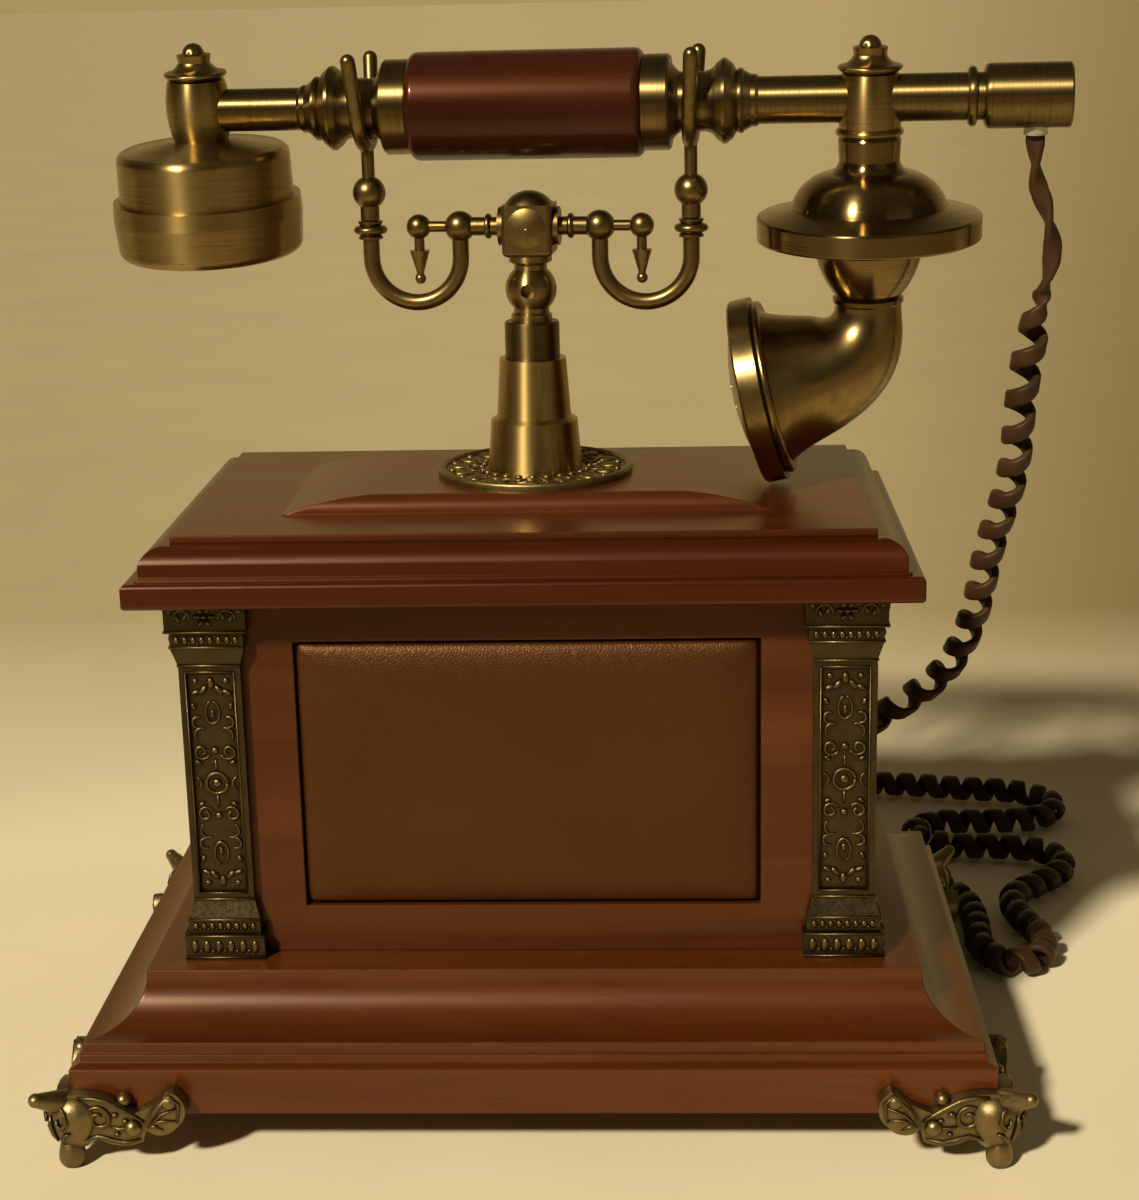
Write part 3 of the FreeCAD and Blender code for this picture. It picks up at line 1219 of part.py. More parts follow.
def hook_spring():
    """Coil under the plunger's sleeve, round the push rod."""
    low = POST_BASE + POST_FLOOR + SPRING_WIRE / 2 + FIT
    high = SLEEVE_BOTTOM - SPRING_WIRE / 2 - FIT
    pitch = (high - low) / SPRING_TURNS

    def centre(turn):
        angle = 2 * math.pi * turn
        return Vec(SPRING_R * math.cos(angle), SPRING_R * math.sin(angle), low + pitch * turn)

    def heading(turn):
        return unit(centre(turn + 0.001) - centre(turn - 0.001))

    edges = []
    for k in range(2 * SPRING_TURNS):
        edges += biarc(centre(k / 2), heading(k / 2), centre(k / 2 + 0.5), heading(k / 2 + 0.5))
    half = SPRING_WIRE / 2
    out = X_AXIS * half
    up = heading(0).cross(X_AXIS) * half
    section = Part.makePolygon([centre(0) + c for c in (out + up, up - out, out * -1 - up, out - up, out + up)])
    return Part.Wire(edges).makePipeShell([section], True, False)


def save(name, shape):
    if not shape.isValid():
        print("not valid:", name)
    shape.exportStep("parts/" + name + ".step")


def main():
    os.makedirs("parts", exist_ok=True)
    base = {
        "plinth": plinth(), "bottom_plate": bottom_plate(), "case_screws": case_screws(),
        "front_panel": front_panel(), "rear_panel": rear_panel(),
        "left_panel": side_panel(-1), "right_panel": side_panel(1),
        "pad_board": pad_board(), "front_pad": front_pad(),
        "lid_base": lid_base(), "lid_top_panel": lid_top_panel(),
        "circuit_board": circuit_board(), "ringer": ringer(),
        "line_jack": line_jack(), "handset_grommet": handset_grommet(),
    }
    on_post = {
        "rosette": rosette(), "post": post(), "post_nut": post_nut(), "hook_spring": hook_spring(),
        "hook_switch": hook_switch(), "switch_button": switch_button(),
    }
    foot = corner_foot()
    column = pilaster()
    for kind, shape in (("foot", foot), ("pilaster", column)):
        base["front_right_" + kind] = shape
        base["front_left_" + kind] = flipped(shape, X_AXIS)
        base["rear_right_" + kind] = flipped(shape, Y_AXIS)
        base["rear_left_" + kind] = flipped(flipped(shape, X_AXIS), Y_AXIS)
    cradle = {"plunger": plunger(), "cradle_stem": cradle_stem(), "crown": crown()}
    for kind, shape in (("arm", right_arm()), ("hook", right_hook())):
        cradle["right_" + kind] = shape
        cradle["left_" + kind] = flipped(shape, X_AXIS)
    cradle["right_fork"] = fork(1)
    cradle["left_fork"] = fork(-1)
    handset = {
        "grip": grip(), "grip_tube": grip_tube(), "grip_ferrules": grip_ferrules(),
        "neck_collars": Part.makeCompound([collar(MIC_ARM_R), flipped(collar(EAR_ARM_R), X_AXIS)]),
        "ear_arm": ear_arm(), "ear_hub": ear_hub(), "hub_finials": hub_finials(),
        "earpiece_cup": earpiece_cup(), "earpiece_rim": earpiece_rim(), "receiver_capsule": receiver_capsule(),
        "mic_arm": mic_arm(), "mic_hub": mic_hub(), "mic_dome": mic_dome(), "mic_flange": mic_flange(),
        "horn_elbow": horn_elbow(), "horn_rim": horn_rim(), "mouth_grille": mouth_grille(),
        "transmitter_capsule": transmitter_capsule(), "end_cap": end_cap(), "cord_bushing": bushing(0),
    }
    for name, shape in base.items():
        save(name, shape)
    for name, shape in on_post.items():
        save(name, at_post(shape))
    for name, shape in cradle.items():
        save(name, turn_cradle(shape))
    for name, shape in handset.items():
        save(name, place_handset(shape))
    save("handset_cord_drop", handset_cord_drop())
    save("handset_cord_slack", handset_cord_slack())


main()
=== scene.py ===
import math

import bmesh
import bpy
from mathutils import Matrix, Vector


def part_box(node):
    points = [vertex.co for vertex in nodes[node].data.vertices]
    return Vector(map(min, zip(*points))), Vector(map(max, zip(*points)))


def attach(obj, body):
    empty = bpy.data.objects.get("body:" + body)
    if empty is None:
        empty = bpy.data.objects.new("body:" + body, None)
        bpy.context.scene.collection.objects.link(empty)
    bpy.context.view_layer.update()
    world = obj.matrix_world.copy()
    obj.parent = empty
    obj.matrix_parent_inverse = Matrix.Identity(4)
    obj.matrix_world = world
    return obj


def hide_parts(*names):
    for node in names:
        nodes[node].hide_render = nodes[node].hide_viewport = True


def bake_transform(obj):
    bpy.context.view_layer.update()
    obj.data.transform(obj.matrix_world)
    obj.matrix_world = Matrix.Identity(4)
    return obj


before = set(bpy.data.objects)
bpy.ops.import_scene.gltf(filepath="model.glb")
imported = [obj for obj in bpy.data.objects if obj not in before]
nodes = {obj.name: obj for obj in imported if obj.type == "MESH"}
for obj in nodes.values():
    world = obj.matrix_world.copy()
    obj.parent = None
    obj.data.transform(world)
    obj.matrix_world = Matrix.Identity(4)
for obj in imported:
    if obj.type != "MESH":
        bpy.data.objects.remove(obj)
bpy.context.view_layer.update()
MM = 0.001
CORNERS = {"front_left": (-1, -1), "front_right": (1, -1), "rear_left": (-1, 1), "rear_right": (1, 1)}

# Places shared with the CAD, in millimetres and degrees

POST_X = 1.1
CRADLE_YAW = -5.0
HANDSET_Z = 293.1
HANDSET_PITCH = -0.25
HANDSET_SHIFT = 0.2
HANDSET_ROLL = 5.0
PLINTH_HALF_W, PLINTH_HALF_D = 132.3, 85.2
LID_HALF_W, LID_HALF_D = 110.9, 70.1


def turn(degrees, axis):
    return Matrix.Rotation(math.radians(degrees), 4, axis)


def shift(x, y, z):
    return Matrix.Translation((x * MM, y * MM, z * MM))


CRADLE = shift(POST_X, 0, 0) @ turn(CRADLE_YAW, "Z")
HANDSET = (CRADLE @ shift(0, 0, HANDSET_Z) @ turn(HANDSET_PITCH, "Y") @ shift(HANDSET_SHIFT, 0, 0)
           @ turn(HANDSET_ROLL, "X"))
ALONG_HANDSET = (0, 0, math.radians(-CRADLE_YAW))


# Small helpers for node materials

def new_material(name):
    material = bpy.data.materials.new(name)
    material.use_nodes = True
    tree = material.node_tree
    return material, tree, tree.nodes["Principled BSDF"]


def add(tree, kind, inputs=None, **settings):
    node = tree.nodes.new(kind)
    for key, value in settings.items():
        setattr(node, key, value)
    for key, value in (inputs or {}).items():
        if isinstance(value, bpy.types.NodeSocket):
            tree.links.new(value, node.inputs[key])
        else:
            node.inputs[key].default_value = value
    return node


def ramp(tree, factor, stops):
    node = add(tree, "ShaderNodeValToRGB", {"Fac": factor})
    elements = node.color_ramp.elements
    while len(elements) < len(stops):
        elements.new(0.5)
    for element, (place, colour) in zip(elements, stops):
        element.position = place
        element.color = tuple(colour) + (1.0,)
    return node.outputs["Color"]


def value_ramp(tree, factor, low, high, to_low=0.0, to_high=1.0):
    node = add(tree, "ShaderNodeMapRange", {"Value": factor, "From Min": low, "From Max": high,
                                            "To Min": to_low, "To Max": to_high})
    return node.outputs["Result"]


def mix(tree, factor, first, second, blend="MIX"):
    node = add(tree, "ShaderNodeMix", data_type="RGBA", blend_type=blend)
    for index, value in ((0, factor), (6, first), (7, second)):
        if isinstance(value, bpy.types.NodeSocket):
            tree.links.new(value, node.inputs[index])
        elif isinstance(value, (int, float)):
            node.inputs[index].default_value = value
        else:
            node.inputs[index].default_value = tuple(value) + (1.0,)
    return node.outputs[2]


def calculate(tree, operation, *values):
    return add(tree, "ShaderNodeMath", dict(enumerate(values)), operation=operation).outputs["Value"]


def noise(tree, scales, detail=4.0, rough=0.55, distortion=0.0, turned=None):
    """Noise over the object's own metres, stretched by a scale for each axis."""
    place = add(tree, "ShaderNodeTexCoord").outputs["Object"]
    if turned:
        place = add(tree, "ShaderNodeMapping", {"Vector": place, "Rotation": turned}).outputs["Vector"]
    place = add(tree, "ShaderNodeMapping", {"Vector": place, "Scale": scales}).outputs["Vector"]
    texture = add(tree, "ShaderNodeTexNoise", {"Vector": place, "Scale": 1.0, "Detail": detail,
                                               "Roughness": rough, "Distortion": distortion})
    return texture.outputs["Fac"]


def bump(tree, bsdf, height, strength, distance, edge=0.0):
    """Fine relief of the surface; sharp edges are rounded over to the radius edge in metres."""
    node = add(tree, "ShaderNodeBump", {"Height": height, "Strength": strength, "Distance": distance})
    if edge:
        rounded = add(tree, "ShaderNodeBevel", {"Radius": edge}, samples=6)
        tree.links.new(rounded.outputs["Normal"], node.inputs["Normal"])
    tree.links.new(node.outputs["Normal"], bsdf.inputs["Normal"])


def gloss(bsdf, level, tint, coat=0.0, coat_rough=0.2):
    bsdf.inputs["Specular IOR Level"].default_value = level
    bsdf.inputs["Specular Tint"].default_value = tuple(tint) + (1.0,)
    bsdf.inputs["Coat Weight"].default_value = coat
    bsdf.inputs["Coat Roughness"].default_value = coat_rough


def link(tree, socket, bsdf, name):
    tree.links.new(socket, bsdf.inputs[name])


# Wood

WOOD_SHADES = ((0.042, 0.0105, 0.0030), (0.072, 0.0205, 0.0060), (0.106, 0.0325, 0.0100))
WOOD_PORE = (0.020, 0.005, 0.0016)
MITRE_LINE = (0.012, 0.004, 0.002)
MITRE_W = 0.0003
WOOD_EDGE_R = 0.0010
GRIP_SHADES = ((0.022, 0.0046, 0.0014), (0.036, 0.0078, 0.0024), (0.054, 0.0125, 0.0038))
GRIP_PORE = (0.018, 0.003, 0.001)


def end_boards(tree, half_w, half_d):
    """1 on the end boards of a mitred frame and 0 on the long ones, and how far a point is from the mitre."""
    place = add(tree, "ShaderNodeTexCoord").outputs["Object"]
    axes = add(tree, "ShaderNodeSeparateXYZ", {"Vector": place}).outputs
    from_end = calculate(tree, "SUBTRACT", half_w * MM, calculate(tree, "ABSOLUTE", axes["X"]))
    from_side = calculate(tree, "SUBTRACT", half_d * MM, calculate(tree, "ABSOLUTE", axes["Y"]))
    mask = calculate(tree, "LESS_THAN", from_end, from_side)
    away = calculate(tree, "ABSOLUTE", calculate(tree, "SUBTRACT", from_end, from_side))
    return mask, away


def grain(tree, along):
    """Broad figure, fine pores and clouds of a board whose grain runs on the axis numbered along."""
    def stretched(slow, fast):
        return [slow if axis == along else fast for axis in range(3)]

    figure = noise(tree, stretched(5, 70), 6.0, 0.6, 0.6)
    pores = noise(tree, stretched(60, 1500), 3.0, 0.6)
    clouds = noise(tree, stretched(6, 16), 3.0)
    return figure, pores, clouds


def mahogany(name, along, mitre=None, tint=(1.0, 1.0, 1.0), coat=0.30):
    """Red-brown wood under lacquer. A mitred frame has its half width and half depth in mitre."""
    material, tree, bsdf = new_material(name)
    figure, pores, clouds = grain(tree, along)
    if mitre:
        mask, away = end_boards(tree, *mitre)
        figure, pores, clouds = [mix(tree, mask, first, second)
                                 for first, second in zip((figure, pores, clouds), grain(tree, 1 - along))]
    shades = [tuple(t * c for t, c in zip(tint, shade)) for shade in WOOD_SHADES]
    colour = ramp(tree, figure, list(zip((0.26, 0.50, 0.74), shades)))
    colour = mix(tree, value_ramp(tree, clouds, 0.35, 0.7, 0.0, 0.5), colour, shades[0])
    colour = mix(tree, value_ramp(tree, pores, 0.58, 0.72, 0.0, 0.5), colour, WOOD_PORE)
    if mitre:
        colour = mix(tree, value_ramp(tree, away, 0.0, MITRE_W, 0.75, 0.0), colour, MITRE_LINE)
    link(tree, colour, bsdf, "Base Color")
    link(tree, value_ramp(tree, figure, 0.3, 0.7, 0.27, 0.35), bsdf, "Roughness")
    gloss(bsdf, 0.50, (1.0, 0.46, 0.19), coat, 0.28)
    bump(tree, bsdf, pores, 0.08, 0.0002, WOOD_EDGE_R)
    return material


def lacquered_grip(name):
    """Deep red turned handle with a thick gloss lacquer and faint streaks along it."""
    material, tree, bsdf = new_material(name)
    streaks = noise(tree, (6, 90, 90), 5.0, 0.6, 0.4, ALONG_HANDSET)
    pores = noise(tree, (70, 1300, 1300), 3.0, 0.6, 0.0, ALONG_HANDSET)
    colour = ramp(tree, streaks, list(zip((0.28, 0.52, 0.76), GRIP_SHADES)))
    colour = mix(tree, value_ramp(tree, pores, 0.58, 0.72, 0.0, 0.5), colour, GRIP_PORE)
    link(tree, colour, bsdf, "Base Color")
    link(tree, value_ramp(tree, streaks, 0.3, 0.7, 0.28, 0.36), bsdf, "Roughness")
    gloss(bsdf, 0.20, (1.0, 0.40, 0.18), 0.35, 0.12)
    bump(tree, bsdf, pores, 0.04, 0.0002)
    return material


# Metals

BRASS_SHADES = ((0.400, 0.280, 0.105), (0.340, 0.234, 0.084), (0.240, 0.160, 0.054))
TARNISH = (0.06, 0.040, 0.014)
HOLLOW_REACH = 0.0020


def brass(name, scales, turned, tone, rough, axis=None):
    """Antique brushed brass, lines along the axes with small scales; a lathe-turned piece names its axis."""
    material, tree, bsdf = new_material(name)
    lines = noise(tree, scales, 4.0, 0.65, 0.0, turned)
    patches = noise(tree, (42, 42, 42), 5.0, 0.6, 0.4)
    specks = noise(tree, (520, 520, 520), 3.0, 0.6)
    bright, middle, deep = [tuple(tone * c for c in shade) for shade in BRASS_SHADES]
    colour = ramp(tree, lines, [(0.28, deep), (0.50, middle), (0.72, bright)])
    colour = mix(tree, value_ramp(tree, patches, 0.50, 0.78, 0.0, 0.6), colour, deep)
    colour = mix(tree, value_ramp(tree, specks, 0.68, 0.76, 0.0, 0.6), colour, TARNISH)
    link(tree, colour, bsdf, "Base Color")
    link(tree, value_ramp(tree, lines, 0.3, 0.7, rough[1], rough[0]), bsdf, "Roughness")
    bsdf.inputs["Metallic"].default_value = 1.0
    if axis:
        tangent = add(tree, "ShaderNodeTangent", direction_type="RADIAL", axis=axis).outputs["Tangent"]
        link(tree, tangent, bsdf, "Tangent")
        bsdf.inputs["Anisotropic"].default_value = 0.8
        bsdf.inputs["Anisotropic Rotation"].default_value = 0.25
    bump(tree, bsdf, lines, 0.025, 0.0002)
    return material


def cast_brass(name, hollow_shade, face_shade):
    """Old cast brass, nearly black in its hollows and duller or brighter on its faces."""
    material, tree, bsdf = new_material(name)
    open_air = add(tree, "ShaderNodeAmbientOcclusion", {"Distance": HOLLOW_REACH}, samples=8).outputs["AO"]
    grains = noise(tree, (750, 750, 750), 5.0, 0.65)
    patches = noise(tree, (130, 130, 130), 4.0)
    middle = tuple((a + b) / 2 for a, b in zip(hollow_shade, face_shade))
    colour = ramp(tree, open_air, [(0.35, hollow_shade), (0.75, middle), (1.0, face_shade)])
    colour = mix(tree, value_ramp(tree, patches, 0.42, 0.70, 0.0, 0.65), colour, middle)
    link(tree, colour, bsdf, "Base Color")
    link(tree, value_ramp(tree, grains, 0.3, 0.7, 0.30, 0.52), bsdf, "Roughness")
    bsdf.inputs["Metallic"].default_value = 0.95
    bump(tree, bsdf, grains, 0.30, 0.0003)
    return material


# Leather, plastics and plain stuff

LEATHER_SHADES = ((0.042, 0.0128, 0.0036), (0.056, 0.0172, 0.0048))
LEATHER_GROOVE_SHADE = (0.042, 0.0125, 0.0034)
HAZE_SHADES = ((0.62, 0.56, 0.42), (0.80, 0.75, 0.60))


def leather(name):
    """Brown leather with a fine pebble grain, painted shade in the grooves between the pebbles, and shallow
    creases.
    """
    material, tree, bsdf = new_material(name)
    place = add(tree, "ShaderNodeTexCoord").outputs["Object"]
    cells = add(tree, "ShaderNodeTexVoronoi", {"Vector": place, "Scale": 1100.0, "Randomness": 1.0},
                feature="DISTANCE_TO_EDGE").outputs["Distance"]
    creases = noise(tree, (420, 420, 420), 5.0, 0.6)
    clouds = noise(tree, (20, 20, 20), 3.0)
    colour = ramp(tree, clouds, list(zip((0.30, 0.70), LEATHER_SHADES)))
    # painted shade in the grooves between the pebbles
    colour = mix(tree, value_ramp(tree, cells, 0.0, 0.10, 0.40, 0.0), colour, LEATHER_GROOVE_SHADE)
    link(tree, colour, bsdf, "Base Color")
    link(tree, value_ramp(tree, creases, 0.3, 0.7, 0.34, 0.44), bsdf, "Roughness")
    gloss(bsdf, 0.55, (1.0, 0.55, 0.24))
    height = mix(tree, 0.35, value_ramp(tree, cells, 0.0, 0.18), creases)
    bump(tree, bsdf, height, 0.22, 0.0003)
    return material


def plain(name, colour, rough, metallic=0.0, fine=600, strength=0.10, shade=0.7, level=0.5):
    """A surface with a fine grain and a little colour variation."""
    material, tree, bsdf = new_material(name)
    grains = noise(tree, (fine, fine, fine), 4.0)
    broad = noise(tree, (45, 45, 45), 3.0)
    darker = tuple(c * shade for c in colour)
    link(tree, ramp(tree, broad, [(0.30, darker), (0.70, colour)]), bsdf, "Base Color")
    link(tree, value_ramp(tree, grains, 0.3, 0.7, rough - 0.06, rough + 0.06), bsdf, "Roughness")
    bsdf.inputs["Metallic"].default_value = metallic
    bsdf.inputs["Specular IOR Level"].default_value = level
    bump(tree, bsdf, grains, strength, 0.0002)
    return material


def clear_plastic(name):
    """Hazy clear plastic."""
    material, tree, bsdf = new_material(name)
    haze = noise(tree, (300, 300, 300), 3.0)
    link(tree, ramp(tree, haze, list(zip((0.3, 0.7), HAZE_SHADES))), bsdf, "Base Color")
    link(tree, value_ramp(tree, haze, 0.3, 0.7, 0.08, 0.22), bsdf, "Roughness")
    bsdf.inputs["Transmission Weight"].default_value = 0.7
    bsdf.inputs["IOR"].default_value = 1.45
    return material


# Which finish each CAD node has

PLINTH_WOOD = mahogany("mahogany_plinth", 0, (PLINTH_HALF_W, PLINTH_HALF_D), (1.16, 0.95, 0.35), 0.50)
LID_WOOD = mahogany("mahogany_lid", 0, (LID_HALF_W, LID_HALF_D), (0.70, 0.33, 0.15), 0.40)
# The top's lighter, less red tint than the lid's is painted reflection of the pale wall.
TOP_WOOD = mahogany("mahogany_top", 0, None, (1.0, 0.75, 0.5), 0.28)
FRONT_WOOD = mahogany("mahogany_front", 0, None, (0.90, 0.84, 0.7), 0.25)
SIDE_WOOD = mahogany("mahogany_side", 1)
GRIP = lacquered_grip("lacquer_red")
# Tones are partly painted light: dome and flange darker as painted shade of the dark room they reflect; horn,
# bars and level pieces darker and the post brighter as painted shade and highlight; the sleeve is truly dark.
BRASS_UP = brass("brass_turned_upright", (60, 60, 1700), None, 0.96, (0.29, 0.36), "Z")
BRASS_DOME = brass("brass_turned_painted_shade", (60, 60, 1700), None, 0.66, (0.17, 0.25), "Z")
BRASS_LEVEL = brass("brass_turned_level", (1700, 60, 60), ALONG_HANDSET, 0.60, (0.33, 0.41), "X")
BRASS_BARS = brass("brass_bars", (420, 420, 420), None, 0.66, (0.28, 0.38))
BRASS_HORN = brass("brass_horn", (160, 160, 90), ALONG_HANDSET, 0.84, (0.21, 0.29))
BRASS_POST = brass("brass_post", (900, 900, 26), None, 1.32, (0.30, 0.38), "Z")
SLEEVE = brass("brass_sleeve_dark", (900, 900, 60), None, 0.45, (0.38, 0.46), "Z")
CAST = cast_brass("brass_cast_dark", (0.012, 0.009, 0.004), (0.080, 0.058, 0.025))
RELIEF = cast_brass("brass_relief", (0.026, 0.018, 0.007), (0.160, 0.112, 0.042))
ROSETTE = cast_brass("brass_rosette", (0.120, 0.083, 0.031), (0.260, 0.182, 0.066))
CAST_RUBBED = cast_brass("brass_cast_rubbed", (0.040, 0.029, 0.012), (0.230, 0.168, 0.070))
LEATHER = leather("leather_brown")
STEEL = plain("steel_plain", (0.50, 0.50, 0.50), 0.35, 1.0)
SHEET = plain("sheet_black", (0.030, 0.028, 0.026), 0.5)
BLACK = plain("plastic_black", (0.030, 0.028, 0.027), 0.5)
BACKING = plain("board_dark", (0.035, 0.017, 0.010), 0.7)
CIRCUIT = plain("circuit_green", (0.030, 0.130, 0.060), 0.4)
CLEAR = clear_plastic("plastic_clear")
CORD = plain("cord_brown", (0.060, 0.0285, 0.0105), 0.45, 0.0, 900, 0.08, 0.6, 0.15)

FINISHES = {
    PLINTH_WOOD: ["plinth"],
    LID_WOOD: ["lid_base"],
    TOP_WOOD: ["lid_top_panel"],
    FRONT_WOOD: ["front_panel", "rear_panel"],
    SIDE_WOOD: ["left_panel", "right_panel"],
    GRIP: ["grip"],
    LEATHER: ["front_pad"],
    BACKING: ["pad_board"],
    CAST: [corner + "_pilaster" for corner in CORNERS],
    CAST_RUBBED: [corner + "_foot" for corner in CORNERS],
    ROSETTE: ["rosette"],
    BRASS_POST: ["post"],
    BRASS_UP: ["cradle_stem", "ear_hub", "mic_hub", "hub_finials", "earpiece_cup", "earpiece_rim"],
    BRASS_DOME: ["mic_dome", "mic_flange"],
    BRASS_LEVEL: ["grip_ferrules", "neck_collars", "ear_arm", "mic_arm", "end_cap"],
    BRASS_BARS: ["crown", "left_arm", "right_arm", "left_hook", "right_hook", "left_fork", "right_fork"],
    BRASS_HORN: ["horn_elbow", "horn_rim", "mouth_grille"],
    SLEEVE: ["plunger"],
    STEEL: ["case_screws", "post_nut", "hook_spring", "grip_tube"],
    SHEET: ["bottom_plate"],
    BLACK: ["hook_switch", "switch_button", "ringer", "line_jack", "handset_grommet", "receiver_capsule",
            "transmitter_capsule"],
    CIRCUIT: ["circuit_board"],
    CLEAR: ["cord_bushing"],
    CORD: ["handset_cord_drop", "handset_cord_slack"],
}


def finish_nodes():
    for material, names in FINISHES.items():
        for name in names:
            data = nodes[name].data
            data.materials.clear()
            data.materials.append(material)


# Meshes

def add_mesh(name, points, faces, material, smooth=True):
    data = bpy.data.meshes.new(name)
    data.from_pydata([tuple(p) for p in points], [], faces)
    data.materials.append(material)
    data.polygons.foreach_set("use_smooth", [smooth] * len(data.polygons))
    data.update()
    piece = bpy.data.objects.new(name, data)
    bpy.context.scene.collection.objects.link(piece)
    return piece


class Face:
    """A flat face with its own u and v axes and n pointing out of it, in millimetres."""

    def __init__(self, origin, u, v, n):
        self.origin, self.u, self.v, self.n = [Vector(axis) for axis in (origin, u, v, n)]

    def at(self, u, v, out=0.0):
        return self.origin + self.u * u + self.v * v + self.n * out

    def lifted(self, u, v, out):
        return Face(self.at(u, v, out), self.u, self.v, self.n)


class Relief:
    """Raised ornament gathered into one mesh, in millimetres."""

    def __init__(self):
        self.points, self.faces = [], []

    def skin(self, rings):
        """Closed skin over rings that have the same number of points."""
        count, first = len(rings[0]), len(self.points)
        for ring in rings:
            self.points.extend(point * MM for point in ring)
        for k in range(len(rings) - 1):
            low, high = first + k * count, first + (k + 1) * count
            for i in range(count):
                j = (i + 1) % count
                self.faces.append((low + i, low + j, high + j, high + i))
        last = first + (len(rings) - 1) * count
        self.faces.append(tuple(first + i for i in reversed(range(count))))
        self.faces.append(tuple(last + i for i in range(count)))

    def roll(self, places, normals, radius, taper=0.0, sides=6):
        """Round bar along the places, half sunk, thinner towards its ends by the share taper."""
        rings = []
        for k, (place, normal) in enumerate(zip(places, normals)):
            heading = places[min(k + 1, len(places) - 1)] - places[max(k - 1, 0)]
            across = heading.cross(normal).normalized()
            share = k / (len(places) - 1)
            r = radius * (1 - taper + taper * math.sin(math.pi * share))
            angles = [2 * math.pi * i / sides for i in range(sides)]
            rings.append([place + across * (r * math.cos(a)) + normal * (r * math.sin(a)) for a in angles])
        self.skin(rings)

    def line(self, face, path, radius, taper=0.0):
        """Bar along a path of (u, v) points on a flat face."""
        self.roll([face.at(u, v, radius * 0.2) for u, v in path], [face.n] * len(path), radius, taper)

    def bead(self, face, u, v, half_u, half_v, height, lean=0.0):
        """Half ellipsoid on a face, turned by lean degrees in the face."""
        c, s = math.cos(math.radians(lean)), math.sin(math.radians(lean))
        rings = []
        for rise in (-12, 25, 55, 80):
            level, reach = math.sin(math.radians(rise)), math.cos(math.radians(rise))
            ring = []
            for i in range(10):
                angle = 2 * math.pi * i / 10
                x, y = half_u * reach * math.cos(angle), half_v * reach * math.sin(angle)
                ring.append(face.at(u + x * c - y * s, v + x * s + y * c, height * level))
            rings.append(ring)
        self.skin(rings)

    def build(self, name, material, body):
        piece = add_mesh(name, self.points, self.faces, material)
        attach(piece, body)
        return piece


def arc(u, v, radius, start, end, stretch=1.0, count=12):
    """Points on an arc of a flat face, from start to end in degrees, stretched along v."""
    angles = [math.radians(start + (end - start) * k / count) for k in range(count + 1)]
    return [(u + radius * math.cos(a), v + radius * stretch * math.sin(a)) for a in angles]


def scroll(u, v, radius, start, sweep, count=16):
    """Spiral that closes towards its middle."""
    points = []
    for k in range(count + 1):
        share = k / count
        angle = math.radians(start + sweep * share)
        r = radius * (1 - 0.72 * share)
        points.append((u + r * math.cos(angle), v + r * math.sin(angle)))
    return points


def mirrored(path, side, up):
    return [(u * side, v * up) for u, v in path]


# Corner pilasters: a relief on both outer faces, and patterned tiers at both ends

TIER_STEP = 1.1
SHAFT_STEP = 2.75
SHAFT_SINK = 0.9
SHAFT_BORDER = 1.9
BASE_TIER = 7.6
CAPITAL_TIER = 10.0
SECOND_TIER = 4.8
TAPER = 5.6
RIDGE_R = 0.42
BORDER_R = 0.3


def shaft_motif(relief, face):
    """Ring, paired scrolls, crescents, drops and palmettes, the same above and below the middle."""
    relief.line(face, arc(0, 0, 3.1, 0, 360, 1.0, 20), 0.55)
    relief.bead(face, 0, 0, 1.5, 1.5, 0.9)
    for side in (1, -1):
        relief.line(face, mirrored(arc(6.6, 0, 2.0, 110, 250), side, 1), 0.5, 0.6)
    for up in (1, -1):
        relief.line(face, mirrored([(0, 3.4), (0, 5.4), (0, 7.4)], 1, up), 0.5, 0.5)
        relief.bead(face, 0, 10.0 * up, 1.2, 1.2, 0.9)
        relief.line(face, mirrored(arc(0, 21.6, 2.0, 100, 440, 1.7, 18), 1, up), 0.5, 0.4)
        relief.bead(face, 0, 21.0 * up, 0.8, 1.5, 0.7)
        relief.bead(face, 0, 30.4 * up, 1.1, 1.9, 0.9)
        for side in (1, -1):
            relief.line(face, mirrored(scroll(3.9, 9.6, 2.5, 200, 430), side, up), 0.55, 0.5)
            relief.line(face, mirrored(arc(3.4, 14.6, 2.2, -60, 120), side, up), 0.5, 0.6)
            relief.bead(face, 4.9 * side, 6.4 * up, 1.3, 0.7, 0.8, 30 * side * up)
            relief.line(face, mirrored(arc(4.4, 18.6, 1.6, -110, 120), side, up), 0.6, 0.6)
            relief.bead(face, 5.4 * side, 23.4 * up, 0.8, 1.3, 0.8, -20 * side * up)
            relief.bead(face, 2.3 * side, 28.4 * up, 0.9, 1.9, 0.9, 42 * side * up)
            relief.bead(face, 4.6 * side, 27.6 * up, 0.8, 1.7, 0.8, 68 * side * up)
            relief.bead(face, 4.4 * side, 31.0 * up, 1.0, 1.0, 0.7)


def leaf_row(relief, face, v, half_width, count, half_u, half_v):
    """Row of upright leaves with a small bead between each two."""
    step = 2 * half_width / count
    for k in range(count):
        u = -half_width + step * (k + 0.5)
        relief.bead(face, u, v, half_u, half_v, 0.7)
        if k:
            relief.bead(face, u - step / 2, v - half_v * 0.55, half_u * 0.45, half_u * 0.45, 0.6)


def tier_rosette(relief, face, v):
    """Small flower in the middle of the capital with a leaf spray on each side."""
    relief.bead(face, 0, v, 0.9, 0.9, 0.9)
    for k in range(6):
        angle = 60 * k
        u, w = 2.1 * math.cos(math.radians(angle)), 2.1 * math.sin(math.radians(angle))
        relief.bead(face, u, v + w, 1.2, 0.7, 0.7, angle)
    for side in (1, -1):
        relief.line(face, [(side * u, v + w) for u, w in arc(6.4, -0.4, 2.3, 200, -20)], 0.5, 0.6)
        relief.bead(face, side * 5.4, v + 0.2, 0.7, 1.5, 0.7, 24 * side)
        relief.bead(face, side * 7.6, v - 0.4, 0.7, 1.5, 0.7, -20 * side)
        relief.bead(face, side * 9.8, v + 1.6, 0.9, 0.9, 0.7)


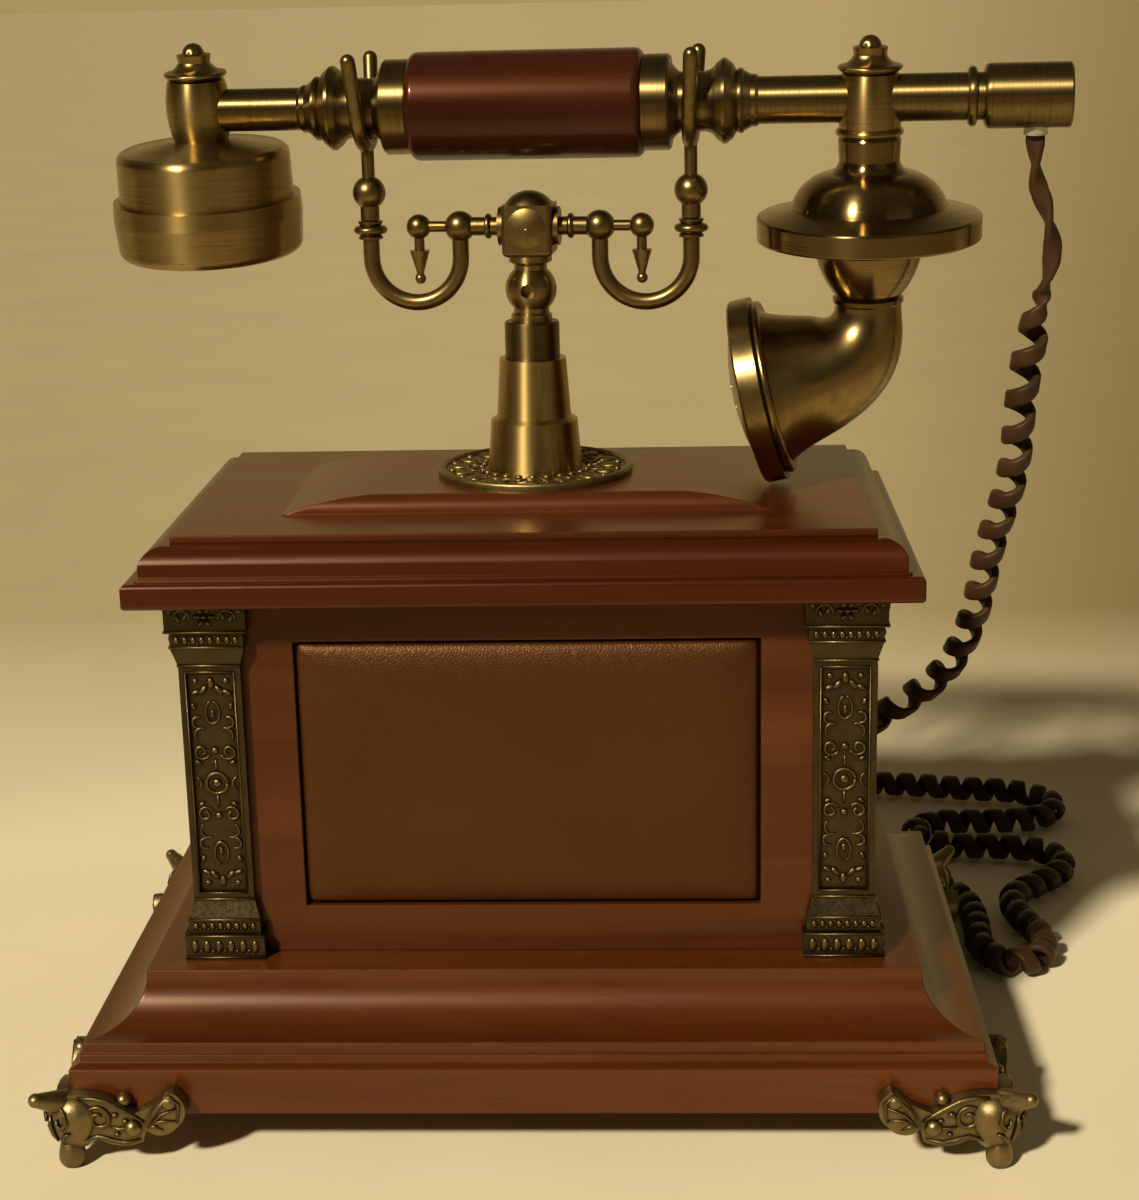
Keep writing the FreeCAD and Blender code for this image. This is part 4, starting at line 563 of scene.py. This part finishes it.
def pilaster_face(relief, face, half, height):
    """One outer face; the face's origin is on the pilaster's axis and v is height from its foot."""
    shaft = face.lifted(0, height / 2 - (CAPITAL_TIER - BASE_TIER) / 2, half - SHAFT_STEP - SHAFT_SINK)
    shaft_motif(relief, shaft)
    border = half - SHAFT_STEP
    foot = BASE_TIER + SECOND_TIER + TAPER
    head = height - CAPITAL_TIER - SECOND_TIER - TAPER
    edge = face.lifted(0, 0, border)
    low, high = foot + SHAFT_BORDER, head - SHAFT_BORDER
    for side in (1, -1):
        u = side * (border - SHAFT_BORDER)
        relief.line(edge, [(u, low), (u, (foot + head) / 2), (u, high)], BORDER_R)
    for v in (low, high):
        relief.line(edge, [(SHAFT_BORDER - border, v), (0, v), (border - SHAFT_BORDER, v)], BORDER_R)
    ridges = [(0.6, 0), (BASE_TIER - 0.3, 0), (BASE_TIER + SECOND_TIER - 0.3, TIER_STEP),
              (foot, SHAFT_STEP), (head, SHAFT_STEP),
              (height - CAPITAL_TIER - SECOND_TIER + 0.3, TIER_STEP), (height - CAPITAL_TIER + 0.3, 0)]
    for v, back in ridges:
        reach = half - back
        relief.line(face.lifted(0, 0, reach), [(-reach, v), (0, v), (reach, v)], RIDGE_R)
    leaf_row(relief, face.lifted(0, 0, half), BASE_TIER / 2 + 0.2, half - 1, 6, 1.2, 2.2)
    for v in (BASE_TIER + SECOND_TIER / 2, height - CAPITAL_TIER - SECOND_TIER / 2):
        leaf_row(relief, face.lifted(0, 0, half - TIER_STEP), v, half - 2, 8, 0.9, 1.3)
    tier_rosette(relief, face.lifted(0, 0, half), height - CAPITAL_TIER / 2)


def pilaster_reliefs():
    for corner, (side, depth) in CORNERS.items():
        low, high = [Vector(point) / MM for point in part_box(corner + "_pilaster")]
        half = (high.x - low.x) / 2
        axis = ((low.x + high.x) / 2, (low.y + high.y) / 2, low.z)
        relief = Relief()
        for u, n in (((1, 0, 0), (0, depth, 0)), ((0, 1, 0), (side, 0, 0))):
            pilaster_face(relief, Face(axis, u, (0, 0, 1), n), half, high.z - low.z)
        relief.build(corner + "_pilaster_relief", RELIEF, "base")


# Rosette under the post: two rings of leaves between a beaded edge and the post

ROSETTE_FACE = 1.3
LEAF_COUNT = 16
BEAD_COUNT = 24


def rosette_relief():
    low, high = [Vector(point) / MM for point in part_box("rosette")]
    centre = Vector(((low.x + high.x) / 2, (low.y + high.y) / 2, low.z + ROSETTE_FACE))
    relief = Relief()

    def polar(angle):
        c, s = math.cos(math.radians(angle)), math.sin(math.radians(angle))
        return Face(centre, (c, s, 0), (-s, c, 0), (0, 0, 1))

    for k in range(LEAF_COUNT):
        face = polar(360 * k / LEAF_COUNT)
        relief.bead(face, 22.6, 0, 3.4, 2.1, 1.2)
        relief.line(face, [(19.5, 0), (22.5, 0), (25.6, 0)], 0.5, 0.5)
        between = polar(360 * (k + 0.5) / LEAF_COUNT)
        relief.bead(between, 25.2, 0, 1.1, 1.1, 1.1)
        relief.line(between, [(17.2, -1.6), (19.6, -1.1), (20.8, 0), (19.6, 1.1), (17.2, 1.6)], 0.5, 0.4)
    for k in range(BEAD_COUNT):
        relief.bead(polar(360 * k / BEAD_COUNT), 16.2, 0, 1.0, 1.3, 1.0)
    relief.build("rosette_relief", ROSETTE, "base")


# Scroll feet: border rolls, a scroll and leaf veins on each wing, carving on the corner shield

WING_T = 4.0
LEAF_T = 5.6
SHIELD_IN = 1.0
SHIELD_OUTLINE = [(7.0, 4.6), (10.6, 6.8), (14.0, 8.0), (16.8, 8.3), (19.0, 7.7), (20.8, 6.9), (22.6, 4.6)]


def wing_relief(relief, face):
    """Carving on one wing; u runs from the corner along the wall and v is height."""
    plate, leaf = face.lifted(0, 0, WING_T), face.lifted(0, 0, LEAF_T)
    upper_edge = [(3.0, 22.8), (7.0, 22.8), (11.0, 21.9), (15.0, 19.6), (18.6, 17.4), (21.6, 15.4)]
    relief.line(plate, upper_edge, 0.8, 0.4)
    relief.line(plate, [(4.0, 9.8), (8.4, 11.0), (12.0, 9.8), (16.0, 8.9), (20.4, 10.0)], 0.7, 0.4)
    relief.line(plate, scroll(8.6, 16.4, 4.0, 150, -470, 22), 0.75, 0.4)
    relief.line(plate, [(11.8, 14.0), (14.4, 13.2), (17.0, 13.6), (19.6, 12.4)], 0.7, 0.5)
    beads = [(13.4, 17.6, 1.2), (16.4, 15.8, 1.0), (5.2, 19.9, 1.0), (13.8, 11.6, 1.0), (4.6, 13.0, 1.1)]
    for u, v, size in beads:
        relief.bead(plate, u, v, size, size * 0.8, 0.9)
    for end in ((30.6, 24.2), (32.2, 20.6), (31.4, 16.6), (27.6, 13.6)):
        start = (23.0, 14.4)
        middle = ((start[0] + end[0]) / 2 - 0.6, (start[1] + end[1]) / 2 + 1.0)
        relief.line(leaf, [start, middle, end], 0.6, 0.6)
    relief.line(leaf, [(23.4, 15.0), (25.2, 19.6), (29.8, 24.2), (32.4, 21.8), (31.6, 16.0)], 0.7, 0.5)


def shield_relief(relief, axis, out):
    """Pair of curls and a centre drop on the rounded shield at the corner."""
    def radius_at(z):
        for (z0, r0), (z1, r1) in zip(SHIELD_OUTLINE, SHIELD_OUTLINE[1:]):
            if z <= z1:
                return r0 + (r1 - r0) * (z - z0) / (z1 - z0)
        return SHIELD_OUTLINE[-1][1]

    def wrapped(path, radius, taper=0.5):
        places, normals = [], []
        for degrees, z in path:
            normal = turn(degrees, "Z") @ out
            normals.append(normal)
            places.append(axis + normal * (radius_at(z) + 0.1) + Vector((0, 0, z)))
        relief.roll(places, normals, radius, taper)

    wrapped([(0, 9), (0, 12), (0, 15), (0, 18)], 0.9, 0.7)
    for side in (1, -1):
        wrapped([(8 * side, 19.5), (22 * side, 21.0), (36 * side, 19.4), (40 * side, 16.6), (30 * side, 14.6),
                 (20 * side, 15.6), (20 * side, 17.4)], 0.75)
        wrapped([(10 * side, 8.6), (22 * side, 10.2), (34 * side, 12.4), (46 * side, 13.0)], 0.7)


def foot_reliefs():
    for corner, (side, depth) in CORNERS.items():
        relief = Relief()
        origin = (side * PLINTH_HALF_W, depth * PLINTH_HALF_D, 0)
        wing_relief(relief, Face(origin, (-side, 0, 0), (0, 0, 1), (0, depth, 0)))
        wing_relief(relief, Face(origin, (0, -depth, 0), (0, 0, 1), (side, 0, 0)))
        out = Vector((side, depth, 0)).normalized()
        shield_relief(relief, Vector(origin) - out * SHIELD_IN, out)
        relief.build(corner + "_foot_relief", RELIEF, "base")


# Leather pad, swelled by a cloth simulation over its flat pinned back

PAD_EASE = 0.0004
PAD_VOXEL = 0.003
PAD_PINNED = 0.0024
PAD_SWELL = 0.0018
PAD_ROLL = 0.0050
PAD_PRESSURE = 4.0
PAD_FRAMES = 20


def pad_form(low, high):
    """Closed cushion a little smaller than the pad, with rolled front edges."""
    form = bmesh.new()
    bmesh.ops.create_cube(form, size=1.0)
    size = high - low - Vector((2 * PAD_EASE, PAD_SWELL, 2 * PAD_EASE))
    centre = (low + high) / 2 + Vector((0, PAD_SWELL / 2, 0))
    bmesh.ops.scale(form, vec=size, verts=form.verts)
    bmesh.ops.translate(form, vec=centre, verts=form.verts)
    front = [edge for edge in form.edges if all(vertex.co.y < centre.y for vertex in edge.verts)]
    bmesh.ops.bevel(form, geom=front, offset=PAD_ROLL, segments=5, profile=0.5, affect="EDGES")
    data = bpy.data.meshes.new("leather_pad")
    form.to_mesh(data)
    form.free()
    return data


def settle(piece):
    """Make what the modifiers show the piece's own mesh."""
    bpy.context.view_layer.update()
    shown = piece.evaluated_get(bpy.context.evaluated_depsgraph_get())
    data = bpy.data.meshes.new_from_object(shown)
    piece.modifiers.clear()
    piece.data = data


def swell(piece, back):
    """Blow the pad up with its back and sides pinned, and keep each point within the allowed swell."""
    pinned = piece.vertex_groups.new(name="pinned")
    pinned.add([v.index for v in piece.data.vertices if v.co.y > back - PAD_PINNED], 1.0, "REPLACE")
    cloth = piece.modifiers.new("swell", "CLOTH")
    cloth.settings.vertex_group_mass = "pinned"
    cloth.settings.use_pressure = True
    cloth.settings.uniform_pressure_force = PAD_PRESSURE
    cloth.settings.effector_weights.gravity = 0.0
    start = [vertex.co.copy() for vertex in piece.data.vertices]
    scene = bpy.context.scene
    for number in range(1, PAD_FRAMES + 1):
        scene.frame_set(number)
    settle(piece)
    scene.frame_set(1)
    for vertex, place in zip(piece.data.vertices, start):
        move = vertex.co - place
        if move.length > 0:
            vertex.co = place + move.normalized() * PAD_SWELL * math.tanh(move.length / PAD_SWELL)


def fit_outline(piece, low, high):
    """Stretch the pad's outline to its place in the recess."""
    for axis in (0, 2):
        places = [vertex.co[axis] for vertex in piece.data.vertices]
        middle, reach = (max(places) + min(places)) / 2, (max(places) - min(places)) / 2
        for vertex in piece.data.vertices:
            share = (vertex.co[axis] - middle) / reach
            vertex.co[axis] = (low[axis] + high[axis]) / 2 + share * (high[axis] - low[axis]) / 2


def leather_pad():
    low, high = [Vector(point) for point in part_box("front_pad")]
    piece = bpy.data.objects.new("leather_pad", pad_form(low, high))
    bpy.context.scene.collection.objects.link(piece)
    even = piece.modifiers.new("even", "REMESH")
    even.mode = "VOXEL"
    even.voxel_size = PAD_VOXEL
    settle(piece)
    swell(piece, high.y)
    soften = piece.modifiers.new("soften", "SMOOTH")
    soften.factor = 0.5
    soften.iterations = 4
    soften.use_x = soften.use_z = False
    finer = piece.modifiers.new("finer", "SUBSURF")
    finer.levels = finer.render_levels = 1
    settle(piece)
    fit_outline(piece, low, high)
    piece.data.materials.clear()
    piece.data.materials.append(LEATHER)
    piece.data.polygons.foreach_set("use_smooth", [True] * len(piece.data.polygons))
    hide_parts("front_pad")
    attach(piece, "base")


# Curly cord

DROP_ROUTE = [
    (149.5, -11.0, 262.0), (152.8, -10.0, 249.0), (148.5, -7.0, 233.0), (145.2, -2.0, 205.0),
    (146.0, 8.0, 180.6), (140.6, 22.0, 154.4), (139.3, 35.0, 129.0), (133.1, 48.0, 106.6),
    (120.2, 62.0, 90.4), (106.0, 70.0, 79.0), (92.0, 67.5, 66.5), (76.0, 60.5, 57.4),
]
FLOOR = 5.9   # height of the cord's middle where it lies on the table
SLACK_ROUTE = [
    (48.0, 60.5, 57.4), (40.0, 70.0, 56.0), (37.0, 84.0, 47.0), (36.0, 97.0, 30.0),
    (38.0, 105.0, 13.0), (47.0, 113.0, FLOOR), (66.0, 119.0, FLOOR), (92.0, 121.0, FLOOR),
    (118.0, 119.0, FLOOR), (137.0, 108.0, FLOOR), (147.0, 92.0, FLOOR), (147.5, 70.0, FLOOR),
    (145.5, 50.0, FLOOR), (152.5, 37.0, FLOOR), (166.0, 42.0, FLOOR), (169.0, 60.0, FLOOR),
    (162.5, 78.0, FLOOR), (162.5, 96.0, FLOOR), (176.0, 108.0, FLOOR), (188.0, 122.0, FLOOR),
    (184.0, 139.0, FLOOR), (166.0, 144.0, FLOOR), (146.0, 144.0, FLOOR), (132.0, 156.0, FLOOR),
    (142.0, 170.0, FLOOR), (164.0, 170.0, FLOOR), (186.0, 172.0, FLOOR), (196.0, 188.0, FLOOR),
    (184.0, 204.0, FLOOR), (160.0, 207.0, FLOOR), (138.0, 213.0, FLOOR), (112.0, 215.0, FLOOR),
    (82.0, 206.0, FLOOR), (52.0, 184.0, FLOOR), (30.0, 154.0, FLOOR), (19.0, 124.0, 20.0),
    (15.0, 98.0, 52.0), (15.0, 76.0, 77.5), (15.0, 55.0, 77.5),
]
BUSHING_X, BUSHING_FACE, STRAIGHT_END = 0.1448, 0.0109, 0.0229
CORD_EXIT = HANDSET @ Vector((BUSHING_X, 0, -BUSHING_FACE))
CORD_BELOW = HANDSET @ Vector((BUSHING_X, 0, -STRAIGHT_END))
CURL_R = 0.0036
RIBBON_W = 0.0053
RIBBON_T = 0.0024
LEAD_IN, LEAD_OUT = 0.046, 0.070
LEAD_PITCH, DROP_PITCH, SLACK_PITCH = 0.034, 0.0112, 0.0090
DROP_END = 0.286
CURL_EASE = 0.014
CORD_STEP = 0.0006
RIBBON_SECTION = [(0.5, 0.28), (0.36, 0.5), (-0.36, 0.5), (-0.5, 0.28),
                  (-0.5, -0.28), (-0.36, -0.5), (0.36, -0.5), (0.5, -0.28)]


def spline_points(route):
    """Points along the smooth spline that has the route's points as its control points."""
    curve = bpy.data.curves.new("cord_route", "CURVE")
    curve.dimensions = "3D"
    spline = curve.splines.new("NURBS")
    spline.points.add(len(route) - 1)
    for point, place in zip(spline.points, route):
        point.co = (place[0], place[1], place[2], 1.0)
    spline.order_u = 3
    spline.use_endpoint_u = True
    spline.resolution_u = 24
    holder = bpy.data.objects.new("cord_route", curve)
    bpy.context.scene.collection.objects.link(holder)
    bpy.context.view_layer.update()
    data = bpy.data.meshes.new_from_object(holder)
    points = [vertex.co.copy() for vertex in data.vertices]
    bpy.data.objects.remove(holder)
    bpy.data.curves.remove(curve)
    bpy.data.meshes.remove(data)
    return points


def ease(share):
    """Smooth rise from 0 to 1."""
    share = min(max(share, 0.0), 1.0)
    return share * share * (3 - 2 * share)


def cord_pitch(s, inside):
    """Length of one curl, s metres along the guide; inside is negative on the leads at both ends."""
    if inside < 0:
        return LEAD_PITCH
    if s < DROP_END:
        return DROP_PITCH * (1 + s)
    return SLACK_PITCH


def curled(guide):
    """Centres of the ribbon along the guide, with the direction that points out of the curl at each."""
    along = [0.0]
    for here, after in zip(guide, guide[1:]):
        along.append(along[-1] + (after - here).length)
    total = along[-1]
    direction = (guide[1] - guide[0]).normalized()
    normal = direction.cross(Vector((1, 0, 0))).normalized()
    centres, outs = [], []
    index, s, angle = 0, 0.0, 0.0
    while s <= total:
        while index < len(guide) - 2 and along[index + 1] < s:
            index += 1
        share = (s - along[index]) / (along[index + 1] - along[index])
        place = guide[index].lerp(guide[index + 1], min(max(share, 0.0), 1.0))
        direction = (guide[index + 1] - guide[index]).normalized()
        normal = (normal - direction * normal.dot(direction)).normalized()
        inside = min(s - LEAD_IN, total - LEAD_OUT - s)
        angle += CORD_STEP / cord_pitch(s, inside) * 2 * math.pi
        out = normal * math.cos(angle) + direction.cross(normal) * math.sin(angle)
        centres.append(place + out * CURL_R * ease(inside / CURL_EASE))
        outs.append(out)
        s += CORD_STEP
    return centres, outs


def curly_ribbon():
    """Flat ribbon: a twisted lead from the handset, then curls down to the table and back into the case."""
    guide = spline_points([CORD_EXIT, CORD_BELOW] + [Vector(p) * MM for p in DROP_ROUTE + SLACK_ROUTE])
    centres, outs = curled(guide)
    points, faces = [], []
    count = len(RIBBON_SECTION)
    for k, centre in enumerate(centres):
        heading = (centres[min(k + 1, len(centres) - 1)] - centres[max(k - 1, 0)]).normalized()
        thin = (outs[k] - heading * outs[k].dot(heading)).normalized()
        wide = heading.cross(thin)
        points.extend(centre + wide * w * RIBBON_W + thin * t * RIBBON_T for w, t in RIBBON_SECTION)
    for k in range(len(centres) - 1):
        low, high = count * k, count * (k + 1)
        for i in range(count):
            j = (i + 1) % count
            faces.append((low + i, low + j, high + j, high + i))
    faces.append(tuple(reversed(range(count))))
    faces.append(tuple(range(len(points) - count, len(points))))
    ribbon = add_mesh("handset_cord", points, faces, CORD)
    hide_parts("handset_cord_drop", "handset_cord_slack")
    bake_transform(ribbon)


# Camera fitted to the photograph, in metres and degrees

PHOTO_H = 1200.0
FOCUS = 2265.91       # in pixels of the photograph
SENSOR_H = 36.0
CAMERA_PLACE = (0.04011, -0.66885, 0.32865)
CAMERA_PITCH, CAMERA_YAW, CAMERA_ROLL = 15.39, -2.54, 1.25


def camera_like_photo():
    pitch, yaw, roll = [math.radians(angle) for angle in (CAMERA_PITCH, CAMERA_YAW, CAMERA_ROLL)]
    level = Vector((math.sin(yaw), math.cos(yaw), 0))
    up_axis = Vector((0, 0, 1))
    forward = level * math.cos(pitch) - up_axis * math.sin(pitch)
    up = level * math.sin(pitch) + up_axis * math.cos(pitch)
    right = Vector((math.cos(yaw), -math.sin(yaw), 0))
    c, s = math.cos(roll), math.sin(roll)
    turned_right = right * c - up * s
    turned_up = right * s + up * c
    data = bpy.data.cameras.new("photo_camera")
    data.sensor_fit = "VERTICAL"
    data.sensor_height = SENSOR_H
    data.lens = FOCUS * SENSOR_H / PHOTO_H
    data.clip_start = 0.01
    camera = bpy.data.objects.new("photo_camera", data)
    axes = Matrix((turned_right, turned_up, -forward)).transposed().to_4x4()
    camera.matrix_world = Matrix.Translation(CAMERA_PLACE) @ axes
    bpy.context.scene.collection.objects.link(camera)
    bpy.context.scene.camera = camera


# Floor and light

FLOOR_HALF = 30.0
CLOTH_NEAR = (0.90, 0.79, 0.54)
# Painted shade on the cloth behind the object, darker towards the right
CLOTH_SHADE_BEHIND = [(0.0, (0.50, 0.410, 0.225)), (0.35, (0.54, 0.446, 0.252)), (0.65, (0.53, 0.432, 0.232)),
                (1.0, (0.26, 0.200, 0.086))]
# painted darkness of the cloth far away from the object
CLOTH_FAR_SHADE = (0.16, 0.115, 0.050)
# painted shade of soft creases in the cloth
CLOTH_FOLD_SHADE = (0.25, 0.18, 0.08)
FAN_FROM = 0.67       # the painted shade behind fans out from this far in front of the object
SKY = [(0.45, (0.026, 0.021, 0.013)), (0.68, (0.040, 0.033, 0.021)), (1.00, (0.110, 0.093, 0.064))]
WALL_LIGHT = (0.40, 0.285, 0.115)
AIM = (0, 0, 0.15)
KEY_PLACE, KEY_POWER, KEY_ANGLE, KEY_COLOUR = (-0.92, -1.48, 1.41), 4.15, 4.7, (1.0, 0.90, 0.72)
FILL_PLACE, FILL_SIZE, FILL_POWER, FILL_COLOUR = (1.2, -1.3, 0.7), (1.2, 1.2), 0.5, (1.0, 0.90, 0.74)


def floor_cloth(name):
    """Cream cloth with painted light: palest round the object as in a pool of light, painted shade behind it
    that darkens to the right, painted darkness far away in front and at the sides, and faint painted shade of
    soft creases in the cloth.
    """
    material, tree, bsdf = new_material(name)
    place = add(tree, "ShaderNodeTexCoord").outputs["Object"]
    axes = add(tree, "ShaderNodeSeparateXYZ", {"Vector": place}).outputs
    weave = noise(tree, (900, 900, 900), 3.0)
    folds = noise(tree, (7, 7, 7), 3.0)
    away = add(tree, "ShaderNodeVectorMath", {0: place}, operation="LENGTH").outputs["Value"]
    sideways = calculate(tree, "DIVIDE", axes["X"], calculate(tree, "ADD", axes["Y"], FAN_FROM))
    behind = value_ramp(tree, axes["Y"], 0.16, 0.50)
    in_front = value_ramp(tree, axes["Y"], 0.05, 0.40, 1.0, 0.0)
    # painted shade behind the object, darker towards the right
    shade_behind = ramp(tree, value_ramp(tree, sideways, -0.26, 0.26), CLOTH_SHADE_BEHIND)
    colour = mix(tree, behind, CLOTH_NEAR, shade_behind)
    # painted darkness far away in front and at the sides, as if the cloth were lit only round the object
    dark = calculate(tree, "MULTIPLY", value_ramp(tree, away, 0.28, 0.75, 0.0, 0.85), in_front)
    colour = mix(tree, dark, colour, CLOTH_FAR_SHADE)
    # faint painted shade of soft creases in the cloth
    colour = mix(tree, value_ramp(tree, folds, 0.3, 0.7, 0.0, 0.10), colour, CLOTH_FOLD_SHADE)
    link(tree, colour, bsdf, "Base Color")
    bsdf.inputs["Roughness"].default_value = 0.9
    bsdf.inputs["Specular IOR Level"].default_value = 0.1
    bump(tree, bsdf, weave, 0.12, 0.0004)
    return material


def floor():
    """Pale cloth that runs out to the skyline, so that nothing hides the object from any side."""
    points = [(x * FLOOR_HALF, y * FLOOR_HALF, 0) for x, y in ((-1, -1), (1, -1), (1, 1), (-1, 1))]
    add_mesh("floor", points, [(0, 1, 2, 3)], floor_cloth("floor_cream"))


def studio_world():
    """Dim warm surroundings, brighter overhead, with the light of a pale wall low down behind the object."""
    world = bpy.data.worlds.new("studio")
    world.use_nodes = True
    tree = world.node_tree
    direction = add(tree, "ShaderNodeTexCoord").outputs["Generated"]
    axes = add(tree, "ShaderNodeSeparateXYZ", {"Vector": direction}).outputs
    colour = ramp(tree, value_ramp(tree, axes["Z"], -1.0, 1.0), SKY)
    wall = calculate(tree, "MULTIPLY", value_ramp(tree, axes["Y"], 0.25, 0.75),
                     value_ramp(tree, axes["Z"], 0.35, 0.70, 1.0, 0.0))
    colour = mix(tree, wall, colour, WALL_LIGHT)
    tree.links.new(colour, tree.nodes["Background"].inputs["Color"])
    bpy.context.scene.world = world


def hang(name, data, place, target):
    """Put a lamp at a place, turned towards the target."""
    light = bpy.data.objects.new(name, data)
    light.location = place
    light.rotation_euler = (Vector(target) - Vector(place)).to_track_quat("-Z", "Y").to_euler()
    bpy.context.scene.collection.objects.link(light)


def sun(name, place, target, power, angle, colour):
    data = bpy.data.lights.new(name, "SUN")
    data.energy = power
    data.angle = math.radians(angle)
    data.color = colour
    hang(name, data, place, target)


def lamp(name, place, target, size, power, colour):
    data = bpy.data.lights.new(name, "AREA")
    data.shape = "RECTANGLE"
    data.size, data.size_y = size
    data.energy = power
    data.color = colour
    hang(name, data, place, target)


def studio():
    floor()
    studio_world()
    sun("key", KEY_PLACE, AIM, KEY_POWER, KEY_ANGLE, KEY_COLOUR)
    lamp("fill", FILL_PLACE, AIM, FILL_SIZE, FILL_POWER, FILL_COLOUR)


finish_nodes()
pilaster_reliefs()
rosette_relief()
foot_reliefs()
leather_pad()
curly_ribbon()
camera_like_photo()
studio()
bpy.context.scene.view_settings.view_transform = "Standard"
